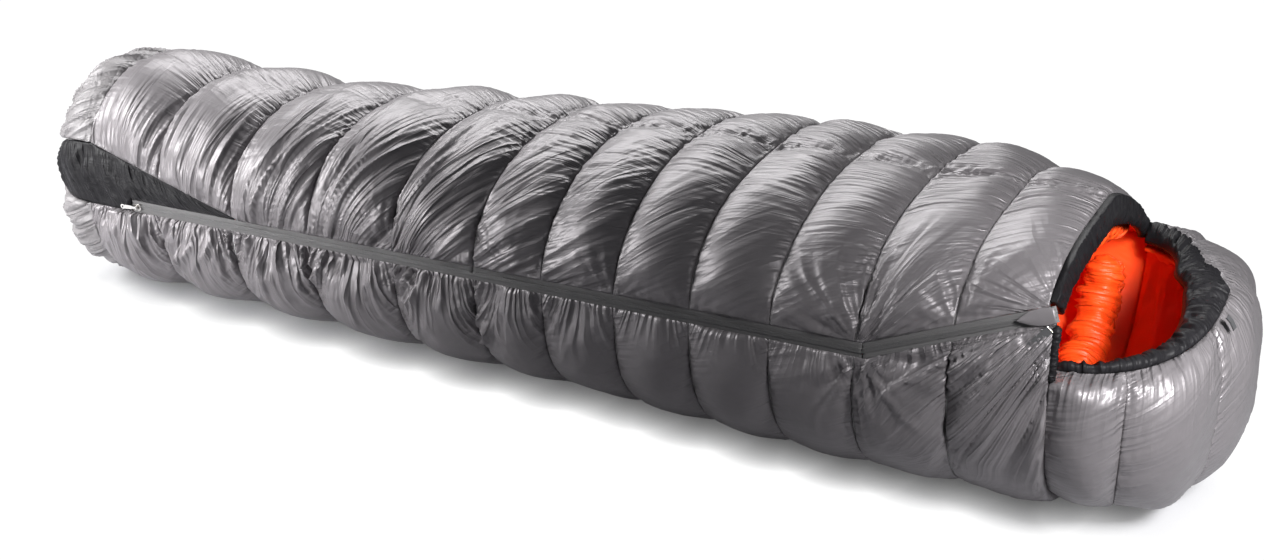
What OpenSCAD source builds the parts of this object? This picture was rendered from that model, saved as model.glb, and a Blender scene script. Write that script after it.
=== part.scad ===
// Mummy sleeping bag, lying closed on its back: down chambers, hood, lining and a side zip.
// +X points to the head, -Y to the zip side, +Z up. All sizes are in millimetres.
// A station is a distance from the foot end along the bag.

/* [Body] */
// Length of the rounded foot end
dome_len = 140; // [110:1:170]
// Half width of the bag at the foot slider
foot_half_w = 202; // [180:1:230]
// Half width of the bag at the bend of the zip, its widest place
shoulder_half_w = 346; // [320:1:370]
// Half width of the neck edge where the zip ends
neck_half_w = 316; // [300:1:330]
// Height of the widest line at the neck edge
neck_belt_z = 270; // [255:1:285]
// Height of the top seams at the feet
foot_top_z = 410; // [380:1:430]
// Height of the top seams at the knee
knee_top_z = 386; // [360:1:410]
// Height of the top seams at the hip
hip_top_z = 404; // [380:1:440]
// Height of the top seams at the chest
chest_top_z = 430; // [410:1:450]
// Height of the bottom seams above the floor
floor_seam_z = 13; // [11:1:16]

/* [Chambers] */
// Width of a leg chamber
leg_pitch = 181; // [165:1:195]
// Width of the hip chamber
hip_pitch = 165; // [140:1:190]
// Width of a torso chamber
torso_pitch = 130; // [120:1:140]
// Thickness of the quilt at a seam
seam_t = 10; // [8:0.5:13]
// How far a chamber bulges outwards, as a share of its width
puff = 0.125; // [0.1:0.005:0.15]
// How far a chamber bulges into the bag
inner_crown = 14; // [8:1:18]
// How much of the bulge the seam along the top takes away
ridge_pinch = 0.3; // [0.1:0.05:0.5]
// Thickness of a baffle wall between two chambers
wall_t = 0.6; // [0.4:0.1:1]
// Clearance between two layers, and between a chamber and a baffle wall
layer_gap = 0.4; // [0.3:0.05:0.6]
// Thickness of the lining
lining_t = 2; // [1.4:0.1:3]

/* [Foot] */
// Station where the black gusset runs out to a point
gusset_tip = 520; // [480:1:540]
// Height of the gusset's upper edge at the end seam
gusset_z = 292; // [270:1:310]
// Share of the section that the flat end panel takes
end_share = 0.5; // [0.4:0.01:0.6]
// Inner radius of a hanging loop
loop_r = 9; // [7:0.5:12]
// Width of the webbing of a hanging loop
loop_w = 15; // [12:1:20]
// Distance between the two hanging loops
loop_pitch = 70; // [50:5:80]

/* [Zip] */
// Station of the zip's lower end
zip_start = 253; // [240:1:280]
// Station of the zip's bend at the shoulder
bend_s = 1690; // [1660:1:1720]
// Height of the zip at its lower end
zip_low_z = 198; // [185:1:210]
// Height of the zip at its bend
zip_bend_z = 279; // [265:1:290]
// Height of the zip's top end
zip_end_z = 372; // [360:1:385]
// Width of each half of the tape
tape_w = 9.5; // [8.5:0.1:11]
// Thickness of the tape
tape_t = 1; // [0.8:0.1:1.2]
// Slit between the two halves, in which the web of a slider runs
slit = 1.8; // [1.6:0.1:2]
// Width of one coil
coil_w = 2.6; // [2.2:0.1:3]
// Thickness of one coil
coil_t = 2.2; // [1.8:0.1:2.6]
// Length of a slider
slider_l = 17; // [15:0.5:20]
// Width of a slider
slider_w = 12.5; // [12:0.5:14]
// Length of the metal pull
pull_l = 34; // [26:1:42]
// Length of the webbing pull at the head end
ribbon_l = 46; // [36:1:52]
// Length of the flap that covers the head slider
garage_l = 52; // [44:1:60]
// Radius of the tube that keeps draughts off the zip
draught_r = 18; // [14:0.5:22]

/* [Hood] */
// Distance from the neck edge to the crown of the hood
hood_len = 202; // [185:1:220]
// Width of the padded black facing round the opening, at the crown
facing_w = 58; // [46:1:64]
// Width of the facing at the ends of the opening
facing_end_w = 26; // [20:1:32]
// Length of the black facing on the end of the top quilt
neck_facing_l = 14; // [10:1:18]
// Height of the black facing on the end of the top quilt
neck_facing_h = 50; // [44:1:56]
// Height of the hood rim at the crown
rim_z = 318; // [300:1:330]
// Height of the hood rim at the zip side
rim_near_z = 284; // [276:1:292]
// Height of the widest line of the hood at the crown
crown_belt_z = 212; // [195:1:225]
// How far the rim leans in from the widest line
rim_lean = 34; // [26:1:42]
// How much further it leans in on the side away from the zip
far_lean = 70; // [50:1:85]
// Radius of the draught collar round the neck
collar_r = 22; // [18:1:24]

/* [Hidden] */
leg_count = 4;
torso_count = 7;
count = leg_count + 1 + torso_count;
lid_first = leg_count + 2;

end_seam = dome_len;
knee_s = end_seam + 2 * leg_pitch;
leg_end = end_seam + leg_count * leg_pitch;
hip_s = leg_end + hip_pitch;
neck_s = hip_s + torso_count * torso_pitch;
chest_s = hip_s + 2 * torso_pitch;
length = neck_s + hood_len + puff * torso_pitch;
seams = concat(
    [for (i = [0:leg_count]) end_seam + i * leg_pitch],
    [for (i = [0:torso_count]) hip_s + i * torso_pitch]);

function two_digits(i) = str(i < 10 ? "0" : "", i);
top_names = [for (i = [1:count]) str("top_chamber_", two_digits(i))];
bottom_names = [for (i = [1:count]) str("bottom_chamber_", two_digits(i))];
hood_names = ["hood_near_side", "hood_near_crown", "hood_crown", "hood_far_crown", "hood_far_side"];

// Counts of faces along and round a surface
across = 6;
around = 16;

// Exponents of the section's curves: 2 is an ellipse, more is squarer
body_n = 2.2;
floor_n = 2.6;
near_shoulder_n = 4;
far_shoulder_n = 1.2;

function mix(a, b, f) = a + (b - a) * f;
function clamp(v) = min(1, max(0, v));
function power(v, e) = v <= 0 ? 0 : pow(v, e);
function joined(lists) = [for (list = lists) each list];

// The zip runs straight from its lower end to its bend, and straight again to the neck edge
neck_f_len = neck_s - bend_s;
main_run = bend_s - zip_start;
main_spread = (shoulder_half_w - foot_half_w) / main_run;
main_rise = (zip_bend_z - zip_low_z) / main_run;
main_yaw = atan(main_spread);
main_pitch = atan(main_rise * cos(main_yaw));
main_l = main_run / cos(main_yaw) / cos(main_pitch);
head_spread = (neck_half_w - shoulder_half_w) / neck_f_len;
head_rise = (zip_end_z - zip_bend_z) / neck_f_len;
head_yaw = atan(head_spread);
head_pitch = atan(head_rise * cos(head_yaw));
head_l = neck_f_len / cos(head_yaw) / cos(head_pitch);
head_tilt = 14;

function neck_f(s) = clamp((s - bend_s) / neck_f_len);
function near_n(s) = mix(body_n, near_shoulder_n, neck_f(s));
function far_n(s) = mix(body_n, far_shoulder_n, neck_f(s));
function belt_z(s) = s < bend_s
    ? zip_low_z + (s - zip_start) * main_rise
    : mix(zip_bend_z, neck_belt_z, neck_f(s));
function zip_y(s) = s < bend_s
    ? foot_half_w + (s - zip_start) * main_spread
    : mix(shoulder_half_w, neck_half_w, neck_f(s));
function zip_z(s) = s < bend_s ? belt_z(s) : mix(zip_bend_z, zip_end_z, neck_f(s));
function top_z(s) = lookup(s, [
    [end_seam, foot_top_z], [knee_s, knee_top_z], [leg_end, hip_top_z],
    [chest_s, chest_top_z], [neck_s, chest_top_z]]);
function zip_v(s) = clamp((zip_z(s) - belt_z(s)) / (top_z(s) - belt_z(s)));
function half_w(s) = zip_y(s) / pow(1 - power(zip_v(s), near_n(s)), 1 / near_n(s));

// Section of the seam surface: 0 is the far side, 90 the top, 180 the zip side, 270 the floor
function section_y(s, t, d) = let (
    n = sin(t) < 0 ? floor_n : cos(t) < 0 ? near_n(s) : far_n(s))
    (half_w(s) + d) * sign(cos(t)) * power(abs(cos(t)), 2 / n);
function section_z(s, t, d) = let (
    n = sin(t) < 0 ? floor_n : cos(t) < 0 ? near_n(s) : far_n(s),
    rise = sin(t) < 0 ? -(belt_z(s) - floor_seam_z + d) : top_z(s) + d - belt_z(s))
    max(0, belt_z(s) + rise * power(abs(sin(t)), 2 / n));

// The foot end draws the section of the end seam together towards its centre
foot_z = (foot_top_z + floor_seam_z) / 2;
dome_n = 2.4;
panel_s = dome_len * (1 - pow(1 - pow(end_share, dome_n), 1 / dome_n));
function dome_k(s) = pow(1 - power((dome_len - s) / dome_len, dome_n), 1 / dome_n);
// The frame's origin is under the middle of the whole bag, its hanging loops included
loop_wall = 1.6;
loops_out = 2 * (loop_r + loop_wall) + layer_gap;
function place(s) = s - (length - loops_out) / 2;

// A point of the bag at station s and angle t, d outside the seam surface
function skin(s, t, d) = s >= dome_len
    ? [place(s), section_y(s, t, d), section_z(s, t, d)]
    : [
        place(s - d * (dome_len - s) / dome_len),
        section_y(dome_len, t, d) * dome_k(s),
        foot_z + (section_z(dome_len, t, d) - foot_z) * dome_k(s)];

// The angle at which the zip side of the section has height z
function near_t(s, z) = let (b = belt_z(s)) z >= b
    ? 180 - asin(clamp(power((z - b) / (top_z(s) - b), near_n(s) / 2)))
    : 180 + asin(clamp(power((b - z) / (b - floor_seam_z), floor_n / 2)));
function far_t(s, gap) = gap > 0
    ? asin(power(gap / (top_z(s) - belt_z(s)), far_n(s) / 2))
    : 360 - asin(power(-gap / (belt_z(s) - floor_seam_z), floor_n / 2));

// Edges of the quilts along the zip and the gusset
zip_edge = slit / 2 + tape_w + layer_gap;
function over_zip(s, gap) = zip_z(s) + gap / cos(s < bend_s ? main_pitch : head_pitch);
function gusset_top(s) = mix(gusset_z, over_zip(gusset_tip, zip_edge),
    (s - end_seam) / (gusset_tip - end_seam));
function top_edge(s) = s < gusset_tip
    ? gusset_top(s) + layer_gap
    : over_zip(s, zip_edge);
function top_t(s, v) = v < 0.5
    ? mix(far_t(s, layer_gap / 2), 90, 2 * v)
    : mix(90, near_t(s, top_edge(s)), 2 * v - 1);
function bottom_t(s, v) = v < 0.5
    ? mix(near_t(s, over_zip(s, -zip_edge)), 270, 2 * v)
    : mix(270, far_t(s, -layer_gap / 2), 2 * v - 1);

// The bulge fades out along the zip and the side seam
fade = 0.2;
function faded(v) = let (e = min(v, 1 - v)) e >= fade ? 1 : 1 - pow(1 - e / fade, 2);
function ridge(v) = 1 - ridge_pinch * clamp(1 - abs(v - 0.5) * around);

// Closed solid between an outer and an inner grid of points; the grids have equal counts
function quad(a, b, c, d) = [[a, b, c], [a, c, d]];
module slab(outer, inner) {
    ni = len(outer);
    nj = len(outer[0]);
    base = ni * nj;
    sheet = joined([for (i = [0:ni - 2], j = [0:nj - 2])
        quad(i * nj + j, (i + 1) * nj + j, (i + 1) * nj + j + 1, i * nj + j + 1)]);
    back = [for (f = sheet) [f[2] + base, f[1] + base, f[0] + base]];
    last = (ni - 1) * nj;
    ends = joined([for (j = [0:nj - 2]) concat(
        quad(j, j + 1, j + 1 + base, j + base),
        quad(last + j + 1, last + j, last + j + base, last + j + 1 + base))]);
    sides = joined([for (i = [0:ni - 2]) concat(
        quad((i + 1) * nj, i * nj, i * nj + base, (i + 1) * nj + base),
        quad(i * nj + nj - 1, (i + 1) * nj + nj - 1, (i + 1) * nj + nj - 1 + base,
            i * nj + nj - 1 + base))]);
    polyhedron(concat(joined(outer), joined(inner)), concat(sheet, back, ends, sides));
}

// Closed ring or tube through rings of points; the two end rings are closed by flat faces
module tube(rings) {
    n = len(rings);
    m = len(rings[0]);
    walls = joined([for (i = [0:n - 2], j = [0:m - 1]) let (k = (j + 1) % m)
        quad(i * m + j, (i + 1) * m + j, (i + 1) * m + k, i * m + k)]);
    polyhedron(joined(rings), concat(walls, [[for (j = [0:m - 1]) j]],
        [[for (j = [m - 1:-1:0]) (n - 1) * m + j]]));
}

wall_gap = wall_t / 2 + layer_gap;
function step(k) = (1 - cos(180 * k / across)) / 2;

module chamber(s0, s1, bottom) {
    high = puff * (s1 - s0);
    outer = [for (k = [0:across]) [for (j = [0:around]) let (
        s = mix(s0, s1, step(k)),
        v = j / around,
        out = high * sin(180 * k / across) * faded(v) * (bottom ? 1 : ridge(v)))
        skin(s, bottom ? bottom_t(s, v) : top_t(s, v), out)]];
    inner = [for (k = [0:across]) [for (j = [0:around]) let (
        s = mix(s0, s1, step(k)),
        v = j / around,
        in = inner_crown * sin(180 * k / across) * faded(v))
        skin(s, bottom ? bottom_t(s, v) : top_t(s, v), -seam_t - in)]];
    slab(outer, inner);
}

module top_chamber(i) {
    end = i == count ? neck_s - neck_facing_l - layer_gap : seams[i] - wall_gap;
    color("silver") chamber(seams[i - 1] + wall_gap, end, false);
}

module bottom_chamber(i) {
    color("silver") chamber(seams[i - 1] + wall_gap, seams[i] - wall_gap, true);
}

// Baffle walls stand in the seams between the chambers
module baffle_wall(s, bottom) {
    inset = 1;
    steps = [for (j = [0:around]) j / around];
    angles = [for (v = steps) bottom ? bottom_t(s, v) : top_t(s, v)];
    rim = [for (t = angles) skin(s, t, -inset)];
    root = [for (j = [around:-1:0]) skin(s, angles[j], inset - seam_t)];
    translate([place(s) - wall_t / 2, 0, 0])
        rotate([90, 0, 90])
            linear_extrude(wall_t) polygon([for (p = concat(rim, root)) [p.y, p.z]]);
}

module baffle_walls() {
    color("white") {
        for (i = [1:count - 1]) baffle_wall(seams[i], true);
        for (i = [1:lid_first - 1]) baffle_wall(seams[i], false);
    }
}

module torso_baffle_walls() {
    color("white") for (i = [lid_first:count - 1]) baffle_wall(seams[i], false);
}

// Foot end: a gathered band, a flat end panel and the black gusset over the zip's lower end
gusset_low_t = near_t(end_seam, over_zip(end_seam, -zip_edge));
gusset_high_t = near_t(end_seam, gusset_z);
foot_step = 0.25;
module foot_band() {
    out = puff * dome_len / 2;
    t0 = gusset_low_t + foot_step;
    t1 = 360 + gusset_high_t - foot_step;
    outer = [for (k = [0:across]) [for (j = [0:2 * around]) let (
        s = mix(panel_s, end_seam - wall_gap, k / across))
        skin(s, mix(t0, t1, j / around / 2), out * sin(180 * k / across))]];
    inner = [for (k = [0:across]) [for (j = [0:2 * around]) let (
        s = mix(panel_s, end_seam - wall_gap, k / across))
        skin(s, mix(t0, t1, j / around / 2), -seam_t - inner_crown * sin(180 * k / across))]];
    color("lightgray") slab(outer, inner);
}

panel_t = panel_s - layer_gap;
module foot_end_panel() {
    profile = [[0.55, 1], [0.9, 0.7], [1, 0.3], [1, 0]] * [[end_share, 0], [0, panel_t]];
    rings = [for (p = profile) [for (j = [0:around - 1]) let (t = 360 * j / around)
        [
            place(panel_t - p[1]),
            section_y(dome_len, t, 0) * p[0],
            foot_z + (section_z(dome_len, t, 0) - foot_z) * p[0]]]];
    color("lightgray") tube(rings);
}

zip_stop = 4;
function gusset_low(s) = over_zip(s, s < zip_start - zip_stop ? layer_gap - zip_edge : zip_edge);
function gusset_t(s, v) = s < end_seam
    ? mix(gusset_low_t - foot_step, gusset_high_t + foot_step, v)
    : mix(near_t(s, gusset_low(s)), near_t(s, gusset_top(s)), v);
gusset_crown = 12;
gusset_steps = concat(
    [for (k = [0:3]) mix(panel_s, end_seam, k / 4)],
    [end_seam, mix(end_seam, zip_start, 0.5), zip_start - 2 * zip_stop, zip_start - zip_stop / 2],
    [for (k = [1:4]) mix(zip_start, gusset_tip - gusset_crown, k / 4)]);
module foot_gusset() {
    outer = [for (s = gusset_steps) [for (v = [1:-0.2:0])
        skin(s, gusset_t(s, v), gusset_crown * sin(180 * v) * (1 - s / gusset_tip))]];
    inner = [for (s = gusset_steps) [for (v = [1:-0.2:0]) skin(s, gusset_t(s, v), -seam_t)]];
    color("dimgray") slab(outer, inner);
}

loop_x = place(0) - loop_r - loop_wall - layer_gap;
module hanging_loops() {
    color("dimgray") for (side = [-1, 1])
        translate([loop_x, side * loop_pitch / 2, foot_z])
            rotate([90, 0, 0])
                difference() {
                    cylinder(h = loop_w, r = loop_r + loop_wall, center = true, $fn = 48);
                    cylinder(h = loop_w + 2, r = loop_r, center = true, $fn = 48);
                }
}

// Lining: one smooth layer inside the chambers
lining_gap = 0.9;
lining_d = -seam_t - inner_crown - lining_gap;
module lining(s0, s1, bottom) {
    middles = [for (i = [1:count]) (seams[i - 1] + seams[i]) / 2];
    stations = concat(
        [s0],
        [for (s = middles) if (s > s0 && s < min(s1, bend_s)) s],
        [for (s = concat([bend_s], middles)) if (s > s0 && s >= bend_s && s < s1) s],
        [s1]);
    outer = [for (s = stations) [for (j = [0:around]) let (v = j / around)
        skin(s, bottom ? bottom_t(s, v) : lining_t(s, v), lining_d)]];
    inner = [for (s = stations) [for (j = [0:around]) let (v = j / around)
        skin(s, bottom ? bottom_t(s, v) : lining_t(s, v), lining_d - lining_t)]];
    slab(outer, inner);
}
// Behind the gusset the lining runs on down to the zip
function lining_t(s, v) = v < 0.5
    ? mix(far_t(s, layer_gap / 2), 90, 2 * v)
    : mix(90, near_t(s, over_zip(s, zip_edge)), 2 * v - 1);

module bottom_lining() {
    color("orangered") lining(end_seam, neck_s - wall_gap, true);
}

module leg_lining() {
    color("orangered") lining(end_seam, hip_s - wall_gap, false);
}

module torso_lining() {
    color("orangered")
        lining(hip_s + wall_gap, neck_s - neck_facing_l - layer_gap, false);
}

// Round tubes that follow the section inside the lining
tube_sides = 8;
collar_gap = 0.8;
collar_d = lining_d - lining_t - collar_gap - collar_r;
collar_s = neck_s - neck_facing_l - layer_gap - collar_r;
module collar(bottom) {
    rings = [for (k = [1:around - 1]) [for (j = [0:tube_sides - 1]) let (
        a = 360 * j / tube_sides,
        s = collar_s + collar_r * cos(a),
        t = bottom ? bottom_t(s, k / around) : lining_t(s, k / around))
        skin(s, t, collar_d + collar_r * sin(a))]];
    tube(rings);
}

module lower_collar() {
    color("orangered") collar(true);
}

module upper_collar() {
    color("orangered") collar(false);
}

// The tube rests against the two edges of the lining along the zip
draught_seat = sqrt(pow(draught_r, 2) - pow(zip_edge, 2)) + layer_gap;
draught_d = lining_d - lining_t - draught_seat;
module draught_tube(s0, s1, steps) {
    rings = [for (k = [0:steps]) [for (j = [0:tube_sides - 1]) let (
        a = 360 * j / tube_sides,
        s = mix(s0, s1, k / steps),
        p = skin(s, near_t(s, zip_z(s)), draught_d))
        [p.x, p.y + draught_r * cos(a), p.z + draught_r * sin(a)]]];
    tube(rings);
}

module leg_draught_tube() {
    color("orangered") draught_tube(zip_start, hip_s - wall_gap, 3);
}

module torso_draught_tube() {
    color("orangered") draught_tube(hip_s + wall_gap, bend_s, 3);
}

// Hood: gores from the rim over the widest line to the underside
hood_n = 2.4;
pole_reach = 0.55;
pole_half_w = 3;
neck_gap = layer_gap;
function belt_x(phi, d) = (hood_len + d) * power(cos(phi), 2 / hood_n);
function belt_y(phi, d) = (half_w(neck_s) + d) * sign(phi) * power(abs(sin(phi)), 2 / hood_n);
function hood_belt_z(phi) = mix(crown_belt_z, neck_belt_z, pow(abs(phi) / 90, 1.5));
function hood_rim_z(phi) = phi < 0
    ? mix(rim_z, rim_near_z, pow(-phi / 90, 0.8))
    : mix(rim_z, rim_near_z, phi / 90);
function lean(phi) = rim_lean + far_lean * max(0, sin(2 * phi));
function opening_w(phi) = mix(facing_w, facing_end_w, abs(phi) / 90);
function shrink(phi, by) = 1 - by / norm([belt_x(phi, 0), belt_y(phi, 0)]);
// w runs from -1 at the opening over 0 at the rim and 1 at the widest line to 2 underneath
function hood(phi, w, d) = let (
    wx = belt_x(phi, d),
    wy = belt_y(phi, d),
    k = w < 0 ? shrink(phi, lean(phi) - w * opening_w(phi))
        : w < 1 ? shrink(phi, lean(phi) * (1 - sin(90 * w)))
        : 1,
    q = power(cos(90 * (w - 1)), 2 / floor_n),
    bz = hood_belt_z(phi),
    z = w < 0 ? hood_rim_z(phi) + d
        : w < 1 ? bz + (hood_rim_z(phi) + d - bz) * power(cos(90 * w), 2 / body_n)
        : bz - (bz - floor_seam_z + d) * power(sin(90 * (w - 1)), 2 / floor_n),
    pole_x = hood_len * pole_reach * cos(phi),
    pole_y = pole_half_w * sin(phi),
    x = w < 1 ? wx * k : mix(pole_x, wx, q),
    y = w < 1 ? wy * k : mix(pole_y, wy, q))
    [place(neck_s + neck_gap + x), y, max(0, z)];

hood_seams = [-90, -66, -22, 22, 66, 90];
hood_rows = 12;
gore_angle_gap = 0.35;
module hood_gore(i) {
    a0 = hood_seams[i] + (i == 0 ? 0 : gore_angle_gap);
    a1 = hood_seams[i + 1] - (i == len(hood_names) - 1 ? 0 : gore_angle_gap);
    high = puff * torso_pitch;
    outer = [for (k = [0:across]) [for (j = [0:hood_rows]) let (
        v = j / hood_rows,
        out = high * sin(180 * k / across) * faded(v))
        hood(mix(a0, a1, step(k)), 2 * v, out)]];
    inner = [for (k = [0:across]) [for (j = [0:hood_rows]) let (
        v = j / hood_rows,
        in = inner_crown * sin(180 * k / across) * faded(v))
        hood(mix(a0, a1, step(k)), 2 * v, -seam_t - in)]];
    color("silver") slab(outer, inner);
}

facing_start = 0.025;
module hood_facing() {
    cols = 20;
    rows = 4;
    outer = [for (k = [0:cols]) [for (j = [rows:-1:0]) let (v = j / rows)
        hood(mix(-90, 90, k / cols), mix(-facing_start, -1, v), puff * torso_pitch / 2 * sin(180 * v))]];
    inner = [for (k = [0:cols]) [for (j = [rows:-1:0]) let (v = j / rows)
        hood(mix(-90, 90, k / cols), mix(-facing_start, -1, v), -seam_t - inner_crown / 2 * sin(180 * v))]];
    color("dimgray") slab(outer, inner);
}

// The lining has its points at the seams and the middles of the gores
lining_end_a = 89;
lining_low_w = 1.98;
gores = len(hood_names);
hood_middles = [for (i = [0:gores - 1]) (hood_seams[i] + hood_seams[i + 1]) / 2];
hood_columns = concat([-lining_end_a],
    joined([for (i = [0:gores - 2]) [hood_middles[i], hood_seams[i + 1]]]),
    [hood_middles[gores - 1], lining_end_a]);
hood_lining_d = lining_d - lining_gap;
module hood_lining() {
    outer = [for (phi = hood_columns) [for (j = [0:hood_rows])
        hood(phi, lining_low_w * j / hood_rows, hood_lining_d)]];
    inner = [for (phi = hood_columns) [for (j = [0:hood_rows])
        hood(phi, lining_low_w * j / hood_rows, hood_lining_d - lining_t)]];
    color("orangered") slab(outer, inner);
}

neck_bulge = [0, 4, -3];
module neck_facing() {
    stations = [neck_s - neck_facing_l, neck_s - neck_facing_l * 0.3, neck_s];
    outer = [for (k = [0:2]) [for (j = [0:around]) let (t = lining_t(neck_s, j / around))
        skin(stations[k], t, neck_bulge[k])]];
    inner = [for (k = [0:2]) [for (j = [0:around]) let (t = lining_t(neck_s, j / around))
        skin(stations[k], t, -neck_facing_h)]];
    color("dimgray") slab(outer, inner);
}

// Zip: local x runs along it to the head, -y points out of the bag, z up across it
tape_y = 0.5;
module on_main_zip(along) {
    translate([place(zip_start), -foot_half_w, zip_low_z])
        rotate([0, -main_pitch, -main_yaw])
            translate([along, 0, 0]) children();
}

module on_head_zip(along) {
    translate([place(bend_s), -shoulder_half_w, zip_bend_z])
        rotate([-head_tilt, -head_pitch, -head_yaw])
            translate([along, 0, 0]) children();
}

module strip(l, side, w, t, y) {
    z = side > 0 ? slit / 2 : -slit / 2 - w;
    translate([0, y, z]) cube([l, t, w]);
}

hip_along = (hip_s - zip_start) / main_run * main_l;
bend_cut = 4;
module main_strip(from, to, side, w, t, y) {
    on_main_zip(from) strip(to - from, side, w, t, y);
}

module head_strip(side, w, t, y) {
    on_head_zip(bend_cut) strip(head_l - bend_cut - layer_gap, side, w, t, y);
}

module lower_tape() {
    color("gray") {
        main_strip(0, main_l - bend_cut, -1, tape_w, tape_t, tape_y);
        head_strip(-1, tape_w, tape_t, tape_y);
    }
}

module leg_tape() {
    color("gray") main_strip(0, hip_along - wall_gap, 1, tape_w, tape_t, tape_y);
}

module torso_tape() {
    color("gray") {
        main_strip(hip_along + wall_gap, main_l - bend_cut, 1, tape_w, tape_t, tape_y);
        head_strip(1, tape_w, tape_t, tape_y);
        garage_hem();
    }
}

module lower_coil() {
    color("gray") {
        main_strip(0, main_l - bend_cut, -1, coil_w, coil_t, tape_y - coil_t);
        head_strip(-1, coil_w, coil_t, tape_y - coil_t);
    }
}

module leg_coil() {
    color("gray") main_strip(0, hip_along - wall_gap, 1, coil_w, coil_t, tape_y - coil_t);
}

module torso_coil() {
    color("gray") {
        main_strip(hip_along + wall_gap, main_l - bend_cut, 1, coil_w, coil_t, tape_y - coil_t);
        head_strip(1, coil_w, coil_t, tape_y - coil_t);
    }
}

// Slider: two plates joined by a web in the slit, rails that hold the coils, and a bail
plate_t = 1.4;
coil_clear = 0.5;
out_y = tape_y - coil_t - coil_clear;
in_y = tape_y + tape_t + coil_clear;
rail_w = 1.2;
web_w = slit - 0.8;
bail_r = 1;
bail_y = out_y - plate_t - 3;
bail_half = 2.6;
module slider_plate(y) {
    translate([0, y + plate_t, 0]) rotate([90, 0, 0]) linear_extrude(plate_t) {
        translate([slider_l / 2 - slider_w / 2, 0]) circle(d = slider_w, $fn = 48);
        translate([-slider_l / 2, -slider_w / 2 + 1]) square([slider_l - slider_w / 2, slider_w - 2]);
    }
}

module slider() {
    rail_z = slit / 2 + coil_w + 0.4;
    slider_plate(out_y - plate_t);
    slider_plate(in_y);
    translate([0, out_y - 0.5, -web_w / 2]) cube([slider_l / 4, in_y - out_y + 1, web_w]);
    for (side = [-1, 1]) {
        translate([-slider_l / 2, out_y - 0.5, side * (rail_z + rail_w / 2) - rail_w / 2])
            cube([slider_l * 0.7, tape_y - out_y + 0.1, rail_w]);
        translate([-bail_r, bail_y - bail_r, side * (bail_half + 0.6) - 0.6])
            cube([2 * bail_r, out_y - plate_t / 2 - bail_y + bail_r, 1.2]);
    }
    translate([0, bail_y, 0]) cylinder(h = 2 * bail_half + 0.4, r = bail_r, center = true, $fn = 32);
}

pull_tilt = 6;
pull_w = 7;
module metal_pull() {
    translate([0, bail_y, 0]) rotate([0, 0, pull_tilt]) difference() {
        union() {
            cylinder(h = 2 * bail_half - 0.6, r = bail_r + 1.5, center = true, $fn = 32);
            translate([-pull_l / 2, 0, 0])
                cube([pull_l - 2, 1.6, 2 * bail_half - 0.6], center = true);
            translate([-pull_l * 0.6, 0, 0])
                cube([pull_l * 0.55, 1.8, pull_w], center = true);
            translate([-pull_l + 2, 0, 0]) rotate([90, 0, 0])
                cylinder(h = 1.8, d = pull_w + 2, center = true, $fn = 32);
        }
        cylinder(h = 2 * bail_half, r = bail_r + 0.2, center = true, $fn = 32);
        translate([-pull_l + 2, 0, 0]) rotate([90, 0, 0])
            cylinder(h = 4, d = 3.5, center = true, $fn = 32);
    }
}

foot_slider_in = 8;
foot_slider_at = slider_l / 2 + foot_slider_in;
module foot_slider() {
    color("silver") on_main_zip(foot_slider_at) slider();
}

module foot_pull() {
    color("silver") on_main_zip(foot_slider_at) metal_pull();
}

// The head slider sits under the garage flap; its webbing pull hangs out below the flap
garage_w = 17;
garage_t = 2;
garage_y = bail_y - bail_r - 1.6;
garage_end = 4;
hem_t = 2.4;
head_slider_at = head_l - 2 * garage_end - slider_l / 2;
ribbon_w = 12;
ribbon_t = 1.6;
ribbon_slope = 30;
ribbon_x = ribbon_w / 2 * sin(ribbon_slope);
ribbon_z = -garage_w / 2 - ribbon_w / 2 - 1.5;
ribbon_inset = 1.2;
hinge_gap = 0.3;
module at_ribbon() {
    on_head_zip(head_slider_at) translate([ribbon_x, bail_y, ribbon_z])
        rotate([0, -ribbon_slope, 0]) children();
}

module head_slider() {
    arm_l = -ribbon_z - ribbon_w / 2 * cos(ribbon_slope) - bail_half + bail_r;
    color("silver") {
        on_head_zip(head_slider_at) {
            slider();
            translate([-bail_r, bail_y - bail_r, -arm_l - bail_half])
                cube([2 * bail_r, 2 * bail_r, arm_l]);
        }
        at_ribbon() cylinder(h = ribbon_w, r = bail_r, center = true, $fn = 32);
    }
}

module head_pull() {
    color("dimgray") at_ribbon()
        translate([-ribbon_l - bail_r - hinge_gap, -ribbon_t / 2, -ribbon_w / 2])
            cube([ribbon_l, ribbon_t, ribbon_w - ribbon_inset]);
}

// The hem that carries the garage flap stands on the upper tape
module garage_hem() {
    hem_z = slit / 2 + coil_w + layer_gap;
    hem_y = garage_y + hinge_gap;
    on_head_zip(head_l - garage_end)
        translate([-hem_t / 2, hem_y, hem_z])
            cube([hem_t, tape_y - hem_y, slit / 2 + tape_w - hem_z]);
}

module zip_garage() {
    color("silver") on_head_zip(head_l - garage_end) {
        translate([-garage_l, garage_y - garage_t, -garage_w / 2])
            cube([garage_l, garage_t, garage_w]);
        translate([0, garage_y - garage_t / 2, 0])
            cylinder(h = garage_w, r = garage_t / 2, center = true, $fn = 24);
    }
}

// Short webbing stub on the crown of the hood, and the blank tag on its lining
strap_t = 1.6;
strap_seat = 0.68;
strap_angles = [-17, -15];
strap_rows = [0.06, 0.2, 0.34];
module hood_strap() {
    rise = puff * torso_pitch * strap_seat;
    function row(phi, d) = [for (w = strap_rows) hood(phi, w, d)];
    color("gray") slab(
        [for (phi = strap_angles) row(phi, rise + strap_t)],
        [for (phi = strap_angles) row(phi, rise)]);
}

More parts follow.
